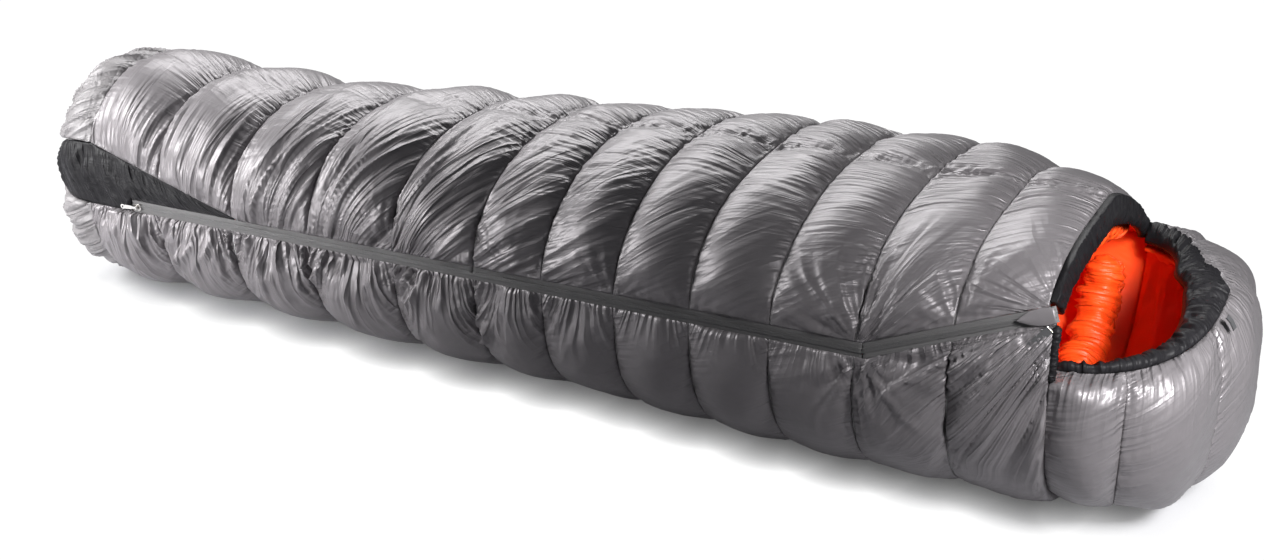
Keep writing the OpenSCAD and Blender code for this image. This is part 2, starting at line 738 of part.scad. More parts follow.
tag_t = 1;
tag_gap = 0.5;
tag_row = 7;
module inner_tag() {
    high = tag_row / hood_rows * lining_low_w;
    low = (tag_row + 1) / hood_rows * lining_low_w;
    near_a = hood_seams[1];
    far_a = hood_middles[1];
    d = hood_lining_d - lining_t - tag_gap;
    function on_lining(f, g, d) = mix(
        mix(hood(near_a, high, d), hood(far_a, high, d), f),
        mix(hood(near_a, low, d), hood(far_a, low, d), f), g);
    function patch(d) = [for (f = [0.1, 0.4]) [for (g = [0.1, 0.8]) on_lining(f, g, d)]];
    color("midnightblue") slab(patch(d), patch(d - tag_t));
}

for (i = [1:count]) {
    top_chamber(i);
    bottom_chamber(i);
}
for (i = [0:len(hood_names) - 1]) hood_gore(i);
foot_band();
foot_end_panel();
foot_gusset();
hanging_loops();
baffle_walls();
torso_baffle_walls();
bottom_lining();
leg_lining();
torso_lining();
hood_lining();
hood_facing();
neck_facing();
lower_collar();
upper_collar();
leg_draught_tube();
torso_draught_tube();
lower_tape();
leg_tape();
torso_tape();
lower_coil();
leg_coil();
torso_coil();
foot_slider();
foot_pull();
head_slider();
head_pull();
zip_garage();
hood_strap();
inner_tag();
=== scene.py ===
import math
import bmesh
import bpy
import numpy as np
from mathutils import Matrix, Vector


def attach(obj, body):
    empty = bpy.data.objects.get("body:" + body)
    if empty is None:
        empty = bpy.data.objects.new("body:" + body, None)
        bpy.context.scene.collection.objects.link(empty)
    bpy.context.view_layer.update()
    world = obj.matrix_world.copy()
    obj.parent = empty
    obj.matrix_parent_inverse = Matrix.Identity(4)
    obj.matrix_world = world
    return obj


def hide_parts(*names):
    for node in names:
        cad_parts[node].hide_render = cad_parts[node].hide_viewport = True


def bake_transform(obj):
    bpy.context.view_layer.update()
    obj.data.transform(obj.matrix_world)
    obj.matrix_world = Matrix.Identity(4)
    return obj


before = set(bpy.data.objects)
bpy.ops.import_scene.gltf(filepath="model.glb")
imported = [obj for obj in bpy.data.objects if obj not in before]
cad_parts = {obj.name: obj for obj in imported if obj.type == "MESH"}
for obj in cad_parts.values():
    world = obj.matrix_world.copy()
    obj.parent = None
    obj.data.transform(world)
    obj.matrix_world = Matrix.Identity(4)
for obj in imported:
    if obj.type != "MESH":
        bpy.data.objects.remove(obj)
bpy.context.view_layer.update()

# ---------------- sizes of the bag, in millimetres
# A station s is a distance from the foot end along the bag, an angle t runs round its section from the
# far side over the top, and a depth d is a distance outside the surface in which the seams lie.
END_SEAM, LEG, HIP, TORSO = 140.0, 181.0, 165.0, 130.0      # first seam, then the widths of the chambers
LEG_COUNT, TORSO_COUNT = 4, 7
COUNT = LEG_COUNT + 1 + TORSO_COUNT
LEG_END = END_SEAM + LEG_COUNT * LEG
HIP_S = LEG_END + HIP
NECK_S = HIP_S + TORSO_COUNT * TORSO
SEAMS = [END_SEAM + LEG * i for i in range(LEG_COUNT + 1)]
SEAMS += [HIP_S + TORSO * i for i in range(TORSO_COUNT + 1)]
HOOD_LEN = 202.0
PUFF = 0.125                            # how far a chamber bulges, as a share of its width
SEAM_T, CROWN_IN = 10.0, 14.0           # depth at a seam, and how much more in the middle
LOOP_R, LOOP_T = 9, 1.6                 # hanging loops
LAYER_GAP, WALL_GAP, FAR_GAP, LINING_GAP = 0.4, 0.7, 0.2, 0.9
LOOPS_OUT = 2 * (LOOP_R + LOOP_T) + LAYER_GAP
LENGTH = NECK_S + HOOD_LEN + PUFF * TORSO
LINING_D = -SEAM_T - CROWN_IN - LINING_GAP
LINING_T = 2
FACING_L = 14.0
LID_END = NECK_S - FACING_L - LAYER_GAP
FOOT_HALF_W, SHOULDER_HALF_W, NECK_HALF_W = 202.0, 346.0, 316.0
ZIP_LOW_Z, ZIP_BEND_Z, ZIP_END_Z = 198.0, 279.0, 372.0
NECK_BELT_Z = 270.0
FLOOR_SEAM = 13.0
FOOT_TOP_Z, KNEE_TOP_Z, HIP_TOP_Z, CHEST_TOP_Z = 410, 386, 404, 430
ZIP_S, BEND_S = 253.0, 1690.0
MAIN_RUN, MAIN_OUT, MAIN_RISE = BEND_S - ZIP_S, SHOULDER_HALF_W - FOOT_HALF_W, ZIP_BEND_Z - ZIP_LOW_Z
HEAD_RUN, HEAD_IN, HEAD_RISE = NECK_S - BEND_S, SHOULDER_HALF_W - NECK_HALF_W, ZIP_END_Z - ZIP_BEND_Z
SLIT, TAPE_W = 1.8, 9.5
ZIP_EDGE = SLIT / 2 + TAPE_W + LAYER_GAP
# exponents of the rounded sections: body, neck on the zip side and on the far side, underside, foot end
BODY_N, NEAR_NECK_N, FAR_NECK_N, FLOOR_N, FOOT_N = 2.2, 4.0, 1.2, 2.6, 2.4
END_SHARE = 0.5                         # share of the section that the end panel takes
BODY_LID = "torso_lid"
BODY_BAG = "bag"


def place(s):
    """X of a station, in millimetres."""
    return s - (LENGTH - LOOPS_OUT) / 2


def mix(a, b, f):
    return a + (b - a) * f


def power(v, e):
    return np.power(np.maximum(v, 0.0), e)


def smooth(v):
    """0 below 0, 1 above 1, and a soft step between them."""
    v = np.clip(v, 0.0, 1.0)
    return v * v * (3 - 2 * v)


def within(v, whole, first, last):
    """1 in the middle of 0 to whole, with soft ends of the two lengths."""
    return smooth(v / first) * smooth((whole - v) / last)


def neck_f(s):
    return np.clip((s - BEND_S) / HEAD_RUN, 0, 1)


def near_n(s):
    return mix(BODY_N, NEAR_NECK_N, neck_f(s))


def far_n(s):
    return mix(BODY_N, FAR_NECK_N, neck_f(s))


def belt_z(s):
    """Height of the widest line, which the zip follows up to its bend."""
    return np.where(s < BEND_S, ZIP_LOW_Z + (s - ZIP_S) * MAIN_RISE / MAIN_RUN,
                    mix(ZIP_BEND_Z, NECK_BELT_Z, neck_f(s)))


def zip_y(s):
    return np.where(s < BEND_S, FOOT_HALF_W + (s - ZIP_S) * MAIN_OUT / MAIN_RUN,
                    mix(SHOULDER_HALF_W, NECK_HALF_W, neck_f(s)))


def zip_z(s):
    return np.where(s < BEND_S, belt_z(s), mix(ZIP_BEND_Z, ZIP_END_Z, neck_f(s)))


def top_z(s):
    return np.interp(s, [END_SEAM, END_SEAM + 2 * LEG, LEG_END, HIP_S + 2 * TORSO, NECK_S],
                     [FOOT_TOP_Z, KNEE_TOP_Z, HIP_TOP_Z, CHEST_TOP_Z, CHEST_TOP_Z])


def half_w(s):
    """Half width at the widest line, such that the section passes through the zip."""
    v = np.clip((zip_z(s) - belt_z(s)) / (top_z(s) - belt_z(s)), 0, 1)
    return zip_y(s) / power(1 - power(v, near_n(s)), 1 / near_n(s))


def section(s, t, d):
    """y and z of the seam surface at station s and angle t, d outside it."""
    st, ct = np.sin(np.radians(t)), np.cos(np.radians(t))
    n = np.where(st < 0, FLOOR_N, np.where(ct < 0, near_n(s), far_n(s)))
    rise = np.where(st < 0, -(belt_z(s) - FLOOR_SEAM + d), top_z(s) + d - belt_z(s))
    y = (half_w(s) + d) * np.sign(ct) * power(np.abs(ct), 2 / n)
    return y, np.maximum(0, belt_z(s) + rise * power(np.abs(st), 2 / n))


FOOT_Z = (FOOT_TOP_Z + FLOOR_SEAM) / 2
PANEL_S = END_SEAM * (1 - (1 - END_SHARE ** FOOT_N) ** (1 / FOOT_N))


def skin(s, t, d):
    """Point of the bag at station s and angle t, d outside the seam surface."""
    s, t, d = np.broadcast_arrays(np.asarray(s, float), np.asarray(t, float), np.asarray(d, float))
    inside = np.maximum(s, END_SEAM)
    y, z = section(inside, t, d)
    k = power(1 - power((END_SEAM - s) / END_SEAM, FOOT_N), 1 / FOOT_N)
    x = place(np.where(s < END_SEAM, s - d * (END_SEAM - s) / END_SEAM, s))
    return np.stack([x, y * k, np.maximum(0, FOOT_Z + (z - FOOT_Z) * k) * (k < 1) + z * (k >= 1)], -1)


def near_t(s, z):
    """Angle on the zip side at which the seam surface has the height z."""
    b = belt_z(s)
    up = 180 - np.degrees(np.arcsin(np.clip(power((z - b) / (top_z(s) - b), near_n(s) / 2), 0, 1)))
    down = 180 + np.degrees(np.arcsin(np.clip(power((b - z) / (b - FLOOR_SEAM), FLOOR_N / 2), 0, 1)))
    return np.where(z >= b, up, down)


def far_t(s, gap):
    """Angle on the far side, gap above the widest line or, below 0, under it."""
    if gap > 0:
        return np.degrees(np.arcsin(power(gap / (top_z(s) - belt_z(s)), far_n(s) / 2)))
    return 360 - np.degrees(np.arcsin(power(-gap / (belt_z(s) - FLOOR_SEAM), FLOOR_N / 2)))


MAIN_YAW, HEAD_YAW = math.atan(MAIN_OUT / MAIN_RUN), math.atan(-HEAD_IN / HEAD_RUN)
MAIN_PITCH = math.atan(MAIN_RISE / MAIN_RUN * math.cos(MAIN_YAW))
HEAD_PITCH = math.atan(HEAD_RISE / HEAD_RUN * math.cos(HEAD_YAW))


def over_zip(s, gap):
    """Height of a line that runs beside the zip, gap above its middle."""
    return zip_z(s) + gap / np.where(s < BEND_S, math.cos(MAIN_PITCH), math.cos(HEAD_PITCH))


GUSSET_TIP, GUSSET_Z = 520.0, 292.0


def gusset_top(s):
    return mix(GUSSET_Z, over_zip(np.asarray(GUSSET_TIP), ZIP_EDGE), (s - END_SEAM) / (GUSSET_TIP - END_SEAM))


def top_edge(s):
    """Height of the top quilt's edge, over the gusset and then over the zip."""
    return np.where(s < GUSSET_TIP, gusset_top(s) + LAYER_GAP, over_zip(s, ZIP_EDGE))


def half_edges(s, bottom, near_z):
    """Angles at which the bottom or the top half of a ring starts and ends; near_z is its edge at the zip."""
    if bottom:
        return near_t(s, near_z), far_t(s, -FAR_GAP)
    return far_t(s, FAR_GAP), near_t(s, near_z)


def quilt_edges(s, bottom, tuck=0.0):
    return half_edges(s, bottom, over_zip(s, -ZIP_EDGE + tuck) if bottom else top_edge(s))


def lining_edges(s, bottom):
    return half_edges(s, bottom, over_zip(s, -ZIP_EDGE if bottom else ZIP_EDGE))


# ---------------- folds
def noise(x, y, seed):
    """Smooth value noise between 0 and 1."""
    xi, yi = np.floor(x), np.floor(y)
    fx, fy = x - xi, y - yi
    xi, yi = xi.astype(np.int64), yi.astype(np.int64)

    def corner(i, j):
        n = (i * 374761393 + j * 668265263 + seed * 974634777) & 0x7FFFFFFF
        n = ((n ^ (n >> 13)) * 1274126177) & 0x7FFFFFFF
        return ((n ^ (n >> 16)) & 0xFFFF) / 65535.0

    wx, wy = fx ** 3 * (fx * (6 * fx - 15) + 10), fy ** 3 * (fy * (6 * fy - 15) + 10)
    low = mix(corner(xi, yi), corner(xi + 1, yi), wx)
    high = mix(corner(xi, yi + 1), corner(xi + 1, yi + 1), wx)
    return mix(low, high, wy)


def folds(across, along, pitch, length, seed):
    """Long folds beside each other, -0.5 to 0.5: across counts over them, along runs with them."""
    bend = (noise(along / (length * 0.8), across / (pitch * 6), seed + 3) - 0.5) * pitch * 1.6
    a = (across + bend) / pitch
    wide = noise(a, along / length, seed)
    fine = noise(a * 2.1 + 7, along / (length * 0.6), seed + 11)
    crest = (1 - np.abs(2 * wide - 1)) ** 1.6
    pillow = np.abs(2 * fine - 1) ** 0.7
    return 0.7 * crest + 0.3 * pillow - 0.45


def fan(ds, dz, angle_pitch, reach, seed):
    """Folds that spread out from a pinched point."""
    r = np.hypot(ds, dz) + 1e-6
    a = np.degrees(np.arctan2(dz, ds))
    return (folds(a, r, angle_pitch, 120, seed) * smooth(r / 25) * np.exp(-(r / reach) ** 2)
            * np.minimum(1, r / 60))


# ---------------- materials
def feed(tree, target, **values):
    """Sets inputs of a node by name, or links them where the value is a socket."""
    for key, value in values.items():
        connect(tree, target.inputs[key.replace("_", " ")], value)


def connect(tree, socket, value):
    if isinstance(value, bpy.types.NodeSocket):
        tree.links.new(value, socket)
    elif value is not None:
        socket.default_value = value


def node(tree, kind, *inputs, **values):
    """A new node with its inputs in order or by name, and its properties by name."""
    made = tree.nodes.new(kind)
    for key, value in values.items():
        if hasattr(made, key):
            setattr(made, key, value)
        else:
            feed(tree, made, **{key: value})
    for socket, value in zip(made.inputs, inputs):
        connect(tree, socket, value)
    return made


def calculate(tree, operation, *values):
    return node(tree, "ShaderNodeMath", *values, operation=operation).outputs[0]


def stretched_noise(tree, vector, scale, **look):
    mapped = node(tree, "ShaderNodeMapping", Vector=vector, Scale=scale).outputs["Vector"]
    return node(tree, "ShaderNodeTexNoise", Vector=mapped, Scale=1.0, **look).outputs["Fac"]


def two_tones(tree, share, color, dark, light):
    """A colour that goes from a darker to a lighter tone of itself."""
    made = node(tree, "ShaderNodeMix", data_type="RGBA")
    tones = (*[c * dark for c in color], 1), (*[min(1, c * light) for c in color], 1)
    for place_in, value in zip((0, 6, 7), (share, *tones)):
        connect(tree, made.inputs[place_in], value)
    return made.outputs[2]


def new_material(name):
    made = bpy.data.materials.new(name)
    made.use_nodes = True
    return made, made.node_tree, made.node_tree.nodes["Principled BSDF"]


def pleat_bump(tree, attribute, across, along, distance, normal):
    """Sharp pleats: the attribute holds the places across and along them and, third, how strong they are."""
    held = node(tree, "ShaderNodeAttribute", attribute_name=attribute).outputs["Vector"]
    strong = node(tree, "ShaderNodeSeparateXYZ", held).outputs[2]
    waves = stretched_noise(tree, held, (across, along, 0), Detail=1.6, Roughness=0.45, Distortion=0.25)
    crest = calculate(tree, "ABSOLUTE", calculate(tree, "SUBTRACT", waves, 0.5))
    return node(tree, "ShaderNodeBump", invert=True, Strength=1.0, Distance=distance,
                Height=calculate(tree, "MULTIPLY", crest, strong), Normal=normal).outputs["Normal"]


def cloth_material(name, color, roughness, metallic=0.0, crinkle=(16, 80), depth=0.0012, tint=0.1,
                   specular=0.5):
    """Woven nylon: creases that follow the piece, a fine grain, and slight changes of colour and gloss."""
    made, tree, shader = new_material(name)
    cloth = node(tree, "ShaderNodeAttribute", attribute_name="cloth").outputs["Vector"]
    creases = stretched_noise(tree, cloth, (*crinkle, 1), Detail=3.0, Roughness=0.55, Distortion=0.4)
    rumple = stretched_noise(tree, cloth, (60, 60, 1), Detail=5.0, Roughness=0.6)
    weave = node(tree, "ShaderNodeTexNoise", Vector=cloth, Scale=900.0, Detail=1.0).outputs["Fac"]
    normal = pleat_bump(tree, "pleats", 75, 6, 0.016, None)
    normal = pleat_bump(tree, "creases", 80, 4.5, 0.013, normal)
    for height, strength, distance in ((creases, 0.5, depth), (rumple, 0.3, depth * 0.35),
                                       (weave, 0.15, 0.00015)):
        normal = node(tree, "ShaderNodeBump", Strength=strength, Distance=distance, Height=height,
                      Normal=normal).outputs["Normal"]
    gloss = node(tree, "ShaderNodeMapRange", Value=creases, To_Min=roughness * 0.85, To_Max=roughness * 1.15)
    feed(tree, shader, Normal=normal, Base_Color=two_tones(tree, rumple, color, 1 - tint, 1 + tint),
         Roughness=gloss.outputs["Result"], Metallic=metallic, Specular_IOR_Level=specular)
    return made


def object_material(name, color, roughness, metallic=0.0, grain=900.0, depth=0.0002):
    """For pieces carried over from the frame: the grain reads Object coordinates."""
    made, tree, shader = new_material(name)
    at = node(tree, "ShaderNodeTexCoord").outputs["Object"]
    speck = node(tree, "ShaderNodeTexNoise", Vector=at, Scale=grain, Detail=3.0).outputs["Fac"]
    rough = node(tree, "ShaderNodeBump", Strength=0.4, Distance=depth, Height=speck)
    feed(tree, shader, Normal=rough.outputs["Normal"], Base_Color=two_tones(tree, speck, color, 0.85, 1.12),
         Roughness=roughness, Metallic=metallic)
    return made


SHELL = cloth_material("silver_nylon", (0.186, 0.173, 0.181), 0.45, metallic=0.35, depth=0.0007)
FOOT = cloth_material("foot_nylon", (0.215, 0.204, 0.209), 0.5, metallic=0.15, crinkle=(60, 20), depth=0.002)
BLACK = cloth_material("black_nylon", (0.012, 0.0115, 0.013), 0.5, depth=0.001, tint=0.2, specular=0.12)
ORANGE = cloth_material("orange_nylon", (1.0, 0.08, 0.006), 0.5, depth=0.0018, tint=0.04)
MESH = object_material("baffle_mesh_cloth", (0.8, 0.8, 0.8), 0.8)
TAPE = cloth_material("zip_tape_cloth", (0.105, 0.102, 0.103), 0.6, crinkle=(10, 900), depth=0.0006)
COIL = cloth_material("zip_coil_nylon", (0.085, 0.083, 0.084), 0.45, crinkle=(400, 30), depth=0.0008)
METAL = object_material("slider_metal_cast", (0.75, 0.73, 0.7), 0.25, metallic=1.0, grain=400, depth=0.0001)
WEBBING = object_material("webbing_weave", (0.05, 0.05, 0.053), 0.65, grain=1500, depth=0.0003)
TAG = object_material("tag_satin", (0.02, 0.025, 0.16), 0.4)


# ---------------- meshes
def finish_piece(bm, name, body, nodes, material):
    """The piece's object, on its body and in the place of the nodes that it stands for."""
    mesh = bpy.data.meshes.new(name)
    bm.to_mesh(mesh)
    bm.free()
    mesh.shade_smooth()
    mesh.materials.append(material)
    piece = bpy.data.objects.new(name, mesh)
    bpy.context.scene.collection.objects.link(piece)
    if body:
        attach(piece, body)
    if nodes:
        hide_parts(*nodes)
    return piece


def pad(name, outer, inner, cloth, body=None, nodes=(), material=None, into=None,
        pleats=None, creases=None):
    """Closed padded form between an outer and an inner grid of points in millimetres.

    cloth, pleats and creases hold coordinates across and along for the material, and a third value.
    With into, the form is only added to that bmesh, and no piece is made of it yet.
    """
    rows, cols = outer.shape[0] - 1, outer.shape[1] - 1
    bm = bmesh.new()
    bmesh.ops.create_grid(bm, x_segments=rows, y_segments=cols, size=0.5)
    back = bmesh.ops.extrude_face_region(bm, geom=bm.faces[:], use_keep_orig=True)["geom"]
    bmesh.ops.translate(bm, vec=(0, 0, -1), verts=[v for v in back if isinstance(v, bmesh.types.BMVert)])
    bmesh.ops.recalc_face_normals(bm, faces=bm.faces[:])
    mesh = bpy.data.meshes.new("pad")
    bm.to_mesh(mesh)
    bm.free()
    flat = np.empty(len(mesh.vertices) * 3)
    mesh.vertices.foreach_get("co", flat)
    flat = flat.reshape(-1, 3)
    i = np.rint((flat[:, 0] + 0.5) * rows).astype(int)
    j = np.rint((flat[:, 1] + 0.5) * cols).astype(int)
    behind = flat[:, 2] < -0.5
    points = np.where(behind[:, None], inner[i, j], outer[i, j]) / 1000
    mesh.vertices.foreach_set("co", points.ravel())
    for label, field in (("cloth", cloth), ("pleats", pleats), ("creases", creases)):
        if field is not None:
            across, along, third = np.broadcast_arrays(*field, outer[..., 0])[:3]
            layer = np.stack([across / 1000, along / 1000, third], -1)
            on_mesh = mesh.attributes.new(label, "FLOAT_VECTOR", "POINT")
            on_mesh.data.foreach_set("vector", layer[i, j].ravel())
    mesh.update()
    bm = into or bmesh.new()
    before = len(bm.faces)
    bm.from_mesh(mesh)
    bpy.data.meshes.remove(mesh)
    bm.faces.ensure_lookup_table()
    made = bm.faces[before:]
    if signed_volume(made) < 0:
        bmesh.ops.reverse_faces(bm, faces=made)
    if into:
        return None
    return finish_piece(bm, name, body, nodes, material)


def signed_volume(faces):
    total = 0.0
    for f in faces:
        c = [l.vert.co for l in f.loops]
        for k in range(1, len(c) - 1):
            total += c[0].dot(c[k].cross(c[k + 1]))
    return total


def grid_normals(points):
    du = np.gradient(points, axis=0)
    dv = np.gradient(points, axis=1)
    n = np.cross(du, dv)
    return n / np.maximum(np.linalg.norm(n, axis=-1, keepdims=True), 1e-9)


def outward(points, normals, centre):
    """Turns the normals so that they point away from the centre line."""
    side = np.sum((points - centre) * normals, axis=-1).mean()
    return normals if side > 0 else -normals


def ring_angles(stations, t0, t1, cols):
    """Angles at even distances along each ring, and those distances."""
    half = np.linspace(0, 1, 160) ** 3 * 90
    marks = [m + q for m in (0, 90, 180, 270, 360) for q in np.concatenate([-half, half])]
    dense = np.unique(np.concatenate([np.linspace(0, 400, 1200), marks]))
    t = np.empty((len(stations), cols + 1))
    arc = np.empty_like(t)
    for k, s in enumerate(stations):
        d = np.concatenate([[t0[k]], dense[(dense > t0[k]) & (dense < t1[k])], [t1[k]]])
        y, z = section(np.full_like(d, s), d, 0.0)
        run = np.concatenate([[0], np.cumsum(np.hypot(np.diff(y), np.diff(z)))])
        want = np.linspace(0, run[-1], cols + 1)
        t[k] = np.interp(want, run, d)
        arc[k] = want
    return t, arc


def seam_wander(index, arc):
    """A sewn seam is never quite straight: how far it strays along the bag."""
    return 5.0 * (noise(arc / 160, np.full_like(arc, index * 3.7), 5) - 0.5)


# where the long folds of each top chamber run from: along from its first seam, and above the zip;
# then how high the folds are and how far up they reach
TOP_FANS = {1: (60, -420, 8, 120), 2: (40, -380, 11, 180), 3: (0, -240, 13, 215), 4: (-20, -130, 14, 255),
            5: (-60, -110, 13, 280), 6: (-190, -120, 9, 260), 7: (-230, -130, 6, 240),
            8: (-260, -150, 4, 200), 9: (-260, -160, 2.5, 170), 10: (-260, -160, 2.5, 150),
            11: (-10, -20, 5, 130), 12: (140, -20, 7, 170)}
# points of the zip where the top quilt is pinched: station, reach of the folds, and their height
PINCHES = ((LEG_END, 75, 9.0), (1100, 75, 9.0), (1290, 60, 8.0), (BEND_S, 120, 15.0), (1815, 90, 9.0))


def rays(ds, dz, reference):
    """Coordinates that run out from a point: across the rays at the reference distance, and along them."""
    return np.arctan2(dz, ds) * reference, np.hypot(ds, dz)


def top_folds(s, arc, total, ridge, x0, x1, width, index):
    """Height of the creases on the top quilt, and where its fine pleats and creases run."""
    seed = 100 + index * 13
    up = total - arc                       # distance above the zip
    edge = np.minimum(x0, x1)
    leg = smooth((1120 - s) / 260)
    along, below, high, tall = TOP_FANS[index]
    # long folds that rise from the zip, fanned in each chamber
    reach = tall * (0.6 + 0.8 * noise(x0 / 24, up * 0, seed + 40))
    lower = np.exp(-(up / reach) ** 2.4)
    distance = float(np.hypot(width / 2 - along, 90 - below))
    across, out_from = rays(x0 - along, up - below, distance)
    soft_start = smooth(out_from / 40)
    out = folds(across, out_from, 21, 260, seed + 41) * lower * soft_start * high
    out += folds(across, out_from, 11, 170, seed + 43) * lower * soft_start * high * 0.42
    strong = 0.15 + 1.2 * noise(across / 45, out_from / 160, seed + 44)
    pleats = (across, out_from, strong * lower * high / 11)
    # creases across a chamber, strongest at its seams and over the ridge
    slant = mix(0.45, -0.3, np.clip(up / np.maximum(total - ridge, 1), 0, 1.2))
    crest = np.exp(-((arc - ridge) / 60) ** 2)
    patchy = smooth(noise(up / 150, x0 / 200, seed + 2) * 1.5 - 0.25)
    over = up - slant * x0
    seam = np.exp(-edge / 26)
    rest = (1 - lower * mix(0.7, 1.0, leg)) * mix(0.55, 1, smooth(edge / 8))
    out += folds(over, x0, 17, 190, seed) * (seam * 5.5 + mix(3.0, 0.8, leg) * patchy + 1.2 * crest) * rest
    creases = (over, x0, (0.75 * seam + mix(0.5, 0.05, leg) * patchy + 0.15 * crest) * rest)
    small = folds(up + 0.3 * x1, edge, 9, 34, seed + 21)
    out += small * np.exp(-edge / 12) * (3.0 + 2.0 * crest)
    # short gathers along the zip
    out += folds(s, up, 11, 50, 78) * np.exp(-up / mix(15.0, 30.0, leg)) * mix(5.5, 6.0, leg)
    # pinched points
    ridge_line = np.exp(-((arc - ridge - 16) / 20) ** 2) * smooth(1.3 - leg)
    out += folds(s + 0.4 * arc, arc, 10, 70, seed + 57) * ridge_line * 5
    for point, reach, top in PINCHES:
        out += fan(s - point, up + 8, 9, reach, int(point)) * top
    # slow unevenness of the filling
    out += (noise(s / 90, arc / 120, 31) - 0.5) * 11 * np.sin(np.pi * np.clip(edge / width * 2, 0, 1) / 2)
    return out, pleats, creases


def bottom_folds(s, arc, x0, x1, width, index):
    """The same for the bottom quilt: arc runs down from the zip."""
    seed = 300 + index * 13
    edge = np.minimum(x0, x1)
    leg = smooth((1350 - s) / 350)
    small = folds(arc + 0.4 * x0, edge, 9, 34, seed)
    out = small * np.exp(-edge / 15) * 4.2
    out += folds(arc + 0.9 * x0, x0, 20, 140, seed + 9) * (0.12 + np.exp(-edge / 26)) * 2.6
    # gathers below the zip: upright in the middle, leaning out at the two seams
    lean = mix(-0.42, 0.36, x0 / width)
    across = s - lean * arc
    tall = mix(34, 100, leg) * (0.5 + 1.0 * noise(across / 30, arc * 0, 17))
    lower = np.exp(-(arc / tall) ** 2)
    top = mix(8.0, 20.0, leg) * (0.55 + 0.9 * noise(s / 60, arc / 90, 19))
    out += folds(across, arc, 18, 120, 91) * lower * top
    out += folds(across, arc, 9, 70, 93) * lower * top * 0.5
    pleats = (across, arc, lower * mix(0.8, 1.9, leg))
    # long slanting creases that run down and back from the zip's top end
    shoulder = smooth((s - 1640) / 160) * smooth(arc / 25) * np.exp(-((arc + 0.8 * (NECK_S - s)) / 250) ** 2)
    slanted, down = rays(NECK_S + 60 - s, arc + 60, 260.0)
    out += folds(slanted, down, 33, 300, 133) * shoulder * 38
    out += folds(slanted, down, 14, 160, 137) * shoulder * 10
    blend = smooth(shoulder * 3)
    creases = (mix(arc + 0.4 * x0, slanted, blend), mix(x0, down, blend),
               0.6 * np.exp(-edge / 18) * (1 - blend) + 1.5 * shoulder)
    out += fan(s - BEND_S, arc + 8, 10, 120, 402) * 17
    out += (noise(s / 100, arc / 120, 63) - 0.5) * 8 * np.sin(np.pi * np.clip(edge / width * 2, 0, 1) / 2)
    return out, pleats, creases


def chamber(index, bottom):
    """A puffed chamber of the quilt between two seams, with its creases."""
    s0 = SEAMS[index - 1] + WALL_GAP
    last = index == COUNT and not bottom
    s1 = LID_END if last else SEAMS[index] - WALL_GAP
    width = s1 - s0
    rows, cols = (int(width / 3.6), 220) if bottom else (int(width / 3.2), 300)
    u = np.linspace(0, 1, rows + 1)
    u = mix(u, (1 - np.cos(np.pi * u)) / 2, 0.45)
    stations = mix(s0, s1, u)
    tuck = 2.2 * smooth((stations - BEND_S) / 20)       # the quilt tucks under the tape of the head zip
    t, arc = ring_angles(stations, *quilt_edges(stations, bottom, tuck), cols)
    total = arc[:, -1:]
    s = stations[:, None] + 0 * t
    x0, x1 = s - s0, s1 - s
    wander = mix(seam_wander(index - 1, arc), seam_wander(index, arc) * (0 if last else 1), u[:, None])
    zip_side = arc if bottom else total - arc
    far_side = total - arc if bottom else arc
    calm = smooth(zip_side / 40) * smooth(far_side / 40)
    s = s + wander * calm
    rise = PUFF * width * power(np.sin(np.pi * u), 0.72)[:, None]
    fade = (1 - power(1 - zip_side / 85, 2)) * (1 - power(1 - far_side / 85, 2))
    if bottom:
        ridge_cut = 1 - 0.55 * smooth((arc - 110) / 120)
        crease, pleats, creases = bottom_folds(s, arc, x0, x1, width, index)
    else:
        ridge = np.array([np.interp(90, t[k], arc[k]) for k in range(len(stations))])[:, None]
        on_ridge = np.exp(-np.abs((arc - ridge - 16) / 20) ** 1.5)
        ridge_cut = 1 - mix(0.6, 0.2, smooth((HIP_S - s) / 200)) * on_ridge
        crease, pleats, creases = top_folds(s, arc, total, ridge, x0, x1, width, index)
    base = skin(s, t, rise * fade * ridge_cut)
    centre = np.array([0, 0, 200.0]) + base * np.array([1, 0, 0])
    normals = outward(base, grid_normals(base), centre)
    hold = smooth(np.minimum(x0, x1) / 5) * 0.85 + 0.15
    hem = smooth(zip_side / 7) * smooth(far_side / 7)
    outer = base + normals * (crease * hold * hem)[..., None]
    outer[..., 2] = np.maximum(outer[..., 2], 0.0)
    inside = CROWN_IN * np.sin(np.pi * u)[:, None] * np.minimum(fade, 1)
    inner = skin(s, t, -SEAM_T - inside)
    on_leg = index <= LEG_COUNT + 1
    cloth = (arc, s, 0) if on_leg else (s, arc, 0)
    name = ("bottom" if bottom else "top") + "_chamber_%02d" % index
    body = BODY_BAG if on_leg or bottom else BODY_LID
    pad("quilt_" + name, outer, inner, cloth, body, [name], SHELL, None, pleats, creases)


def baffle(index, bottom, bm):
    """Thin mesh wall in a seam, from just under the shell to just over the lining."""
    s = np.array([SEAMS[index]] * 2)
    t, arc = ring_angles(s, *quilt_edges(s, bottom), 60)
    total = arc[:, -1:]
    near, far = (arc, total - arc) if bottom else (total - arc, arc)
    stray = seam_wander(index, arc) * smooth(near / 40) * smooth(far / 40)
    depth = np.array([[-1.2], [-9.0]])
    at = s[:, None] + stray
    pad("", skin(at - 0.3, t, depth), skin(at + 0.3, t, depth), (depth, arc, 0), into=bm)


def baffle_walls():
    lid_first = LEG_COUNT + 2
    walls = {BODY_BAG: [(i, True) for i in range(1, COUNT)] + [(i, False) for i in range(1, lid_first)],
             BODY_LID: [(i, False) for i in range(lid_first, COUNT)]}
    for name, body in (("baffle_walls", BODY_BAG), ("torso_baffle_walls", BODY_LID)):
        bm = bmesh.new()
        for index, bottom in walls[body]:
            baffle(index, bottom, bm)
        finish_piece(bm, "mesh_" + name, body, [name], MESH)


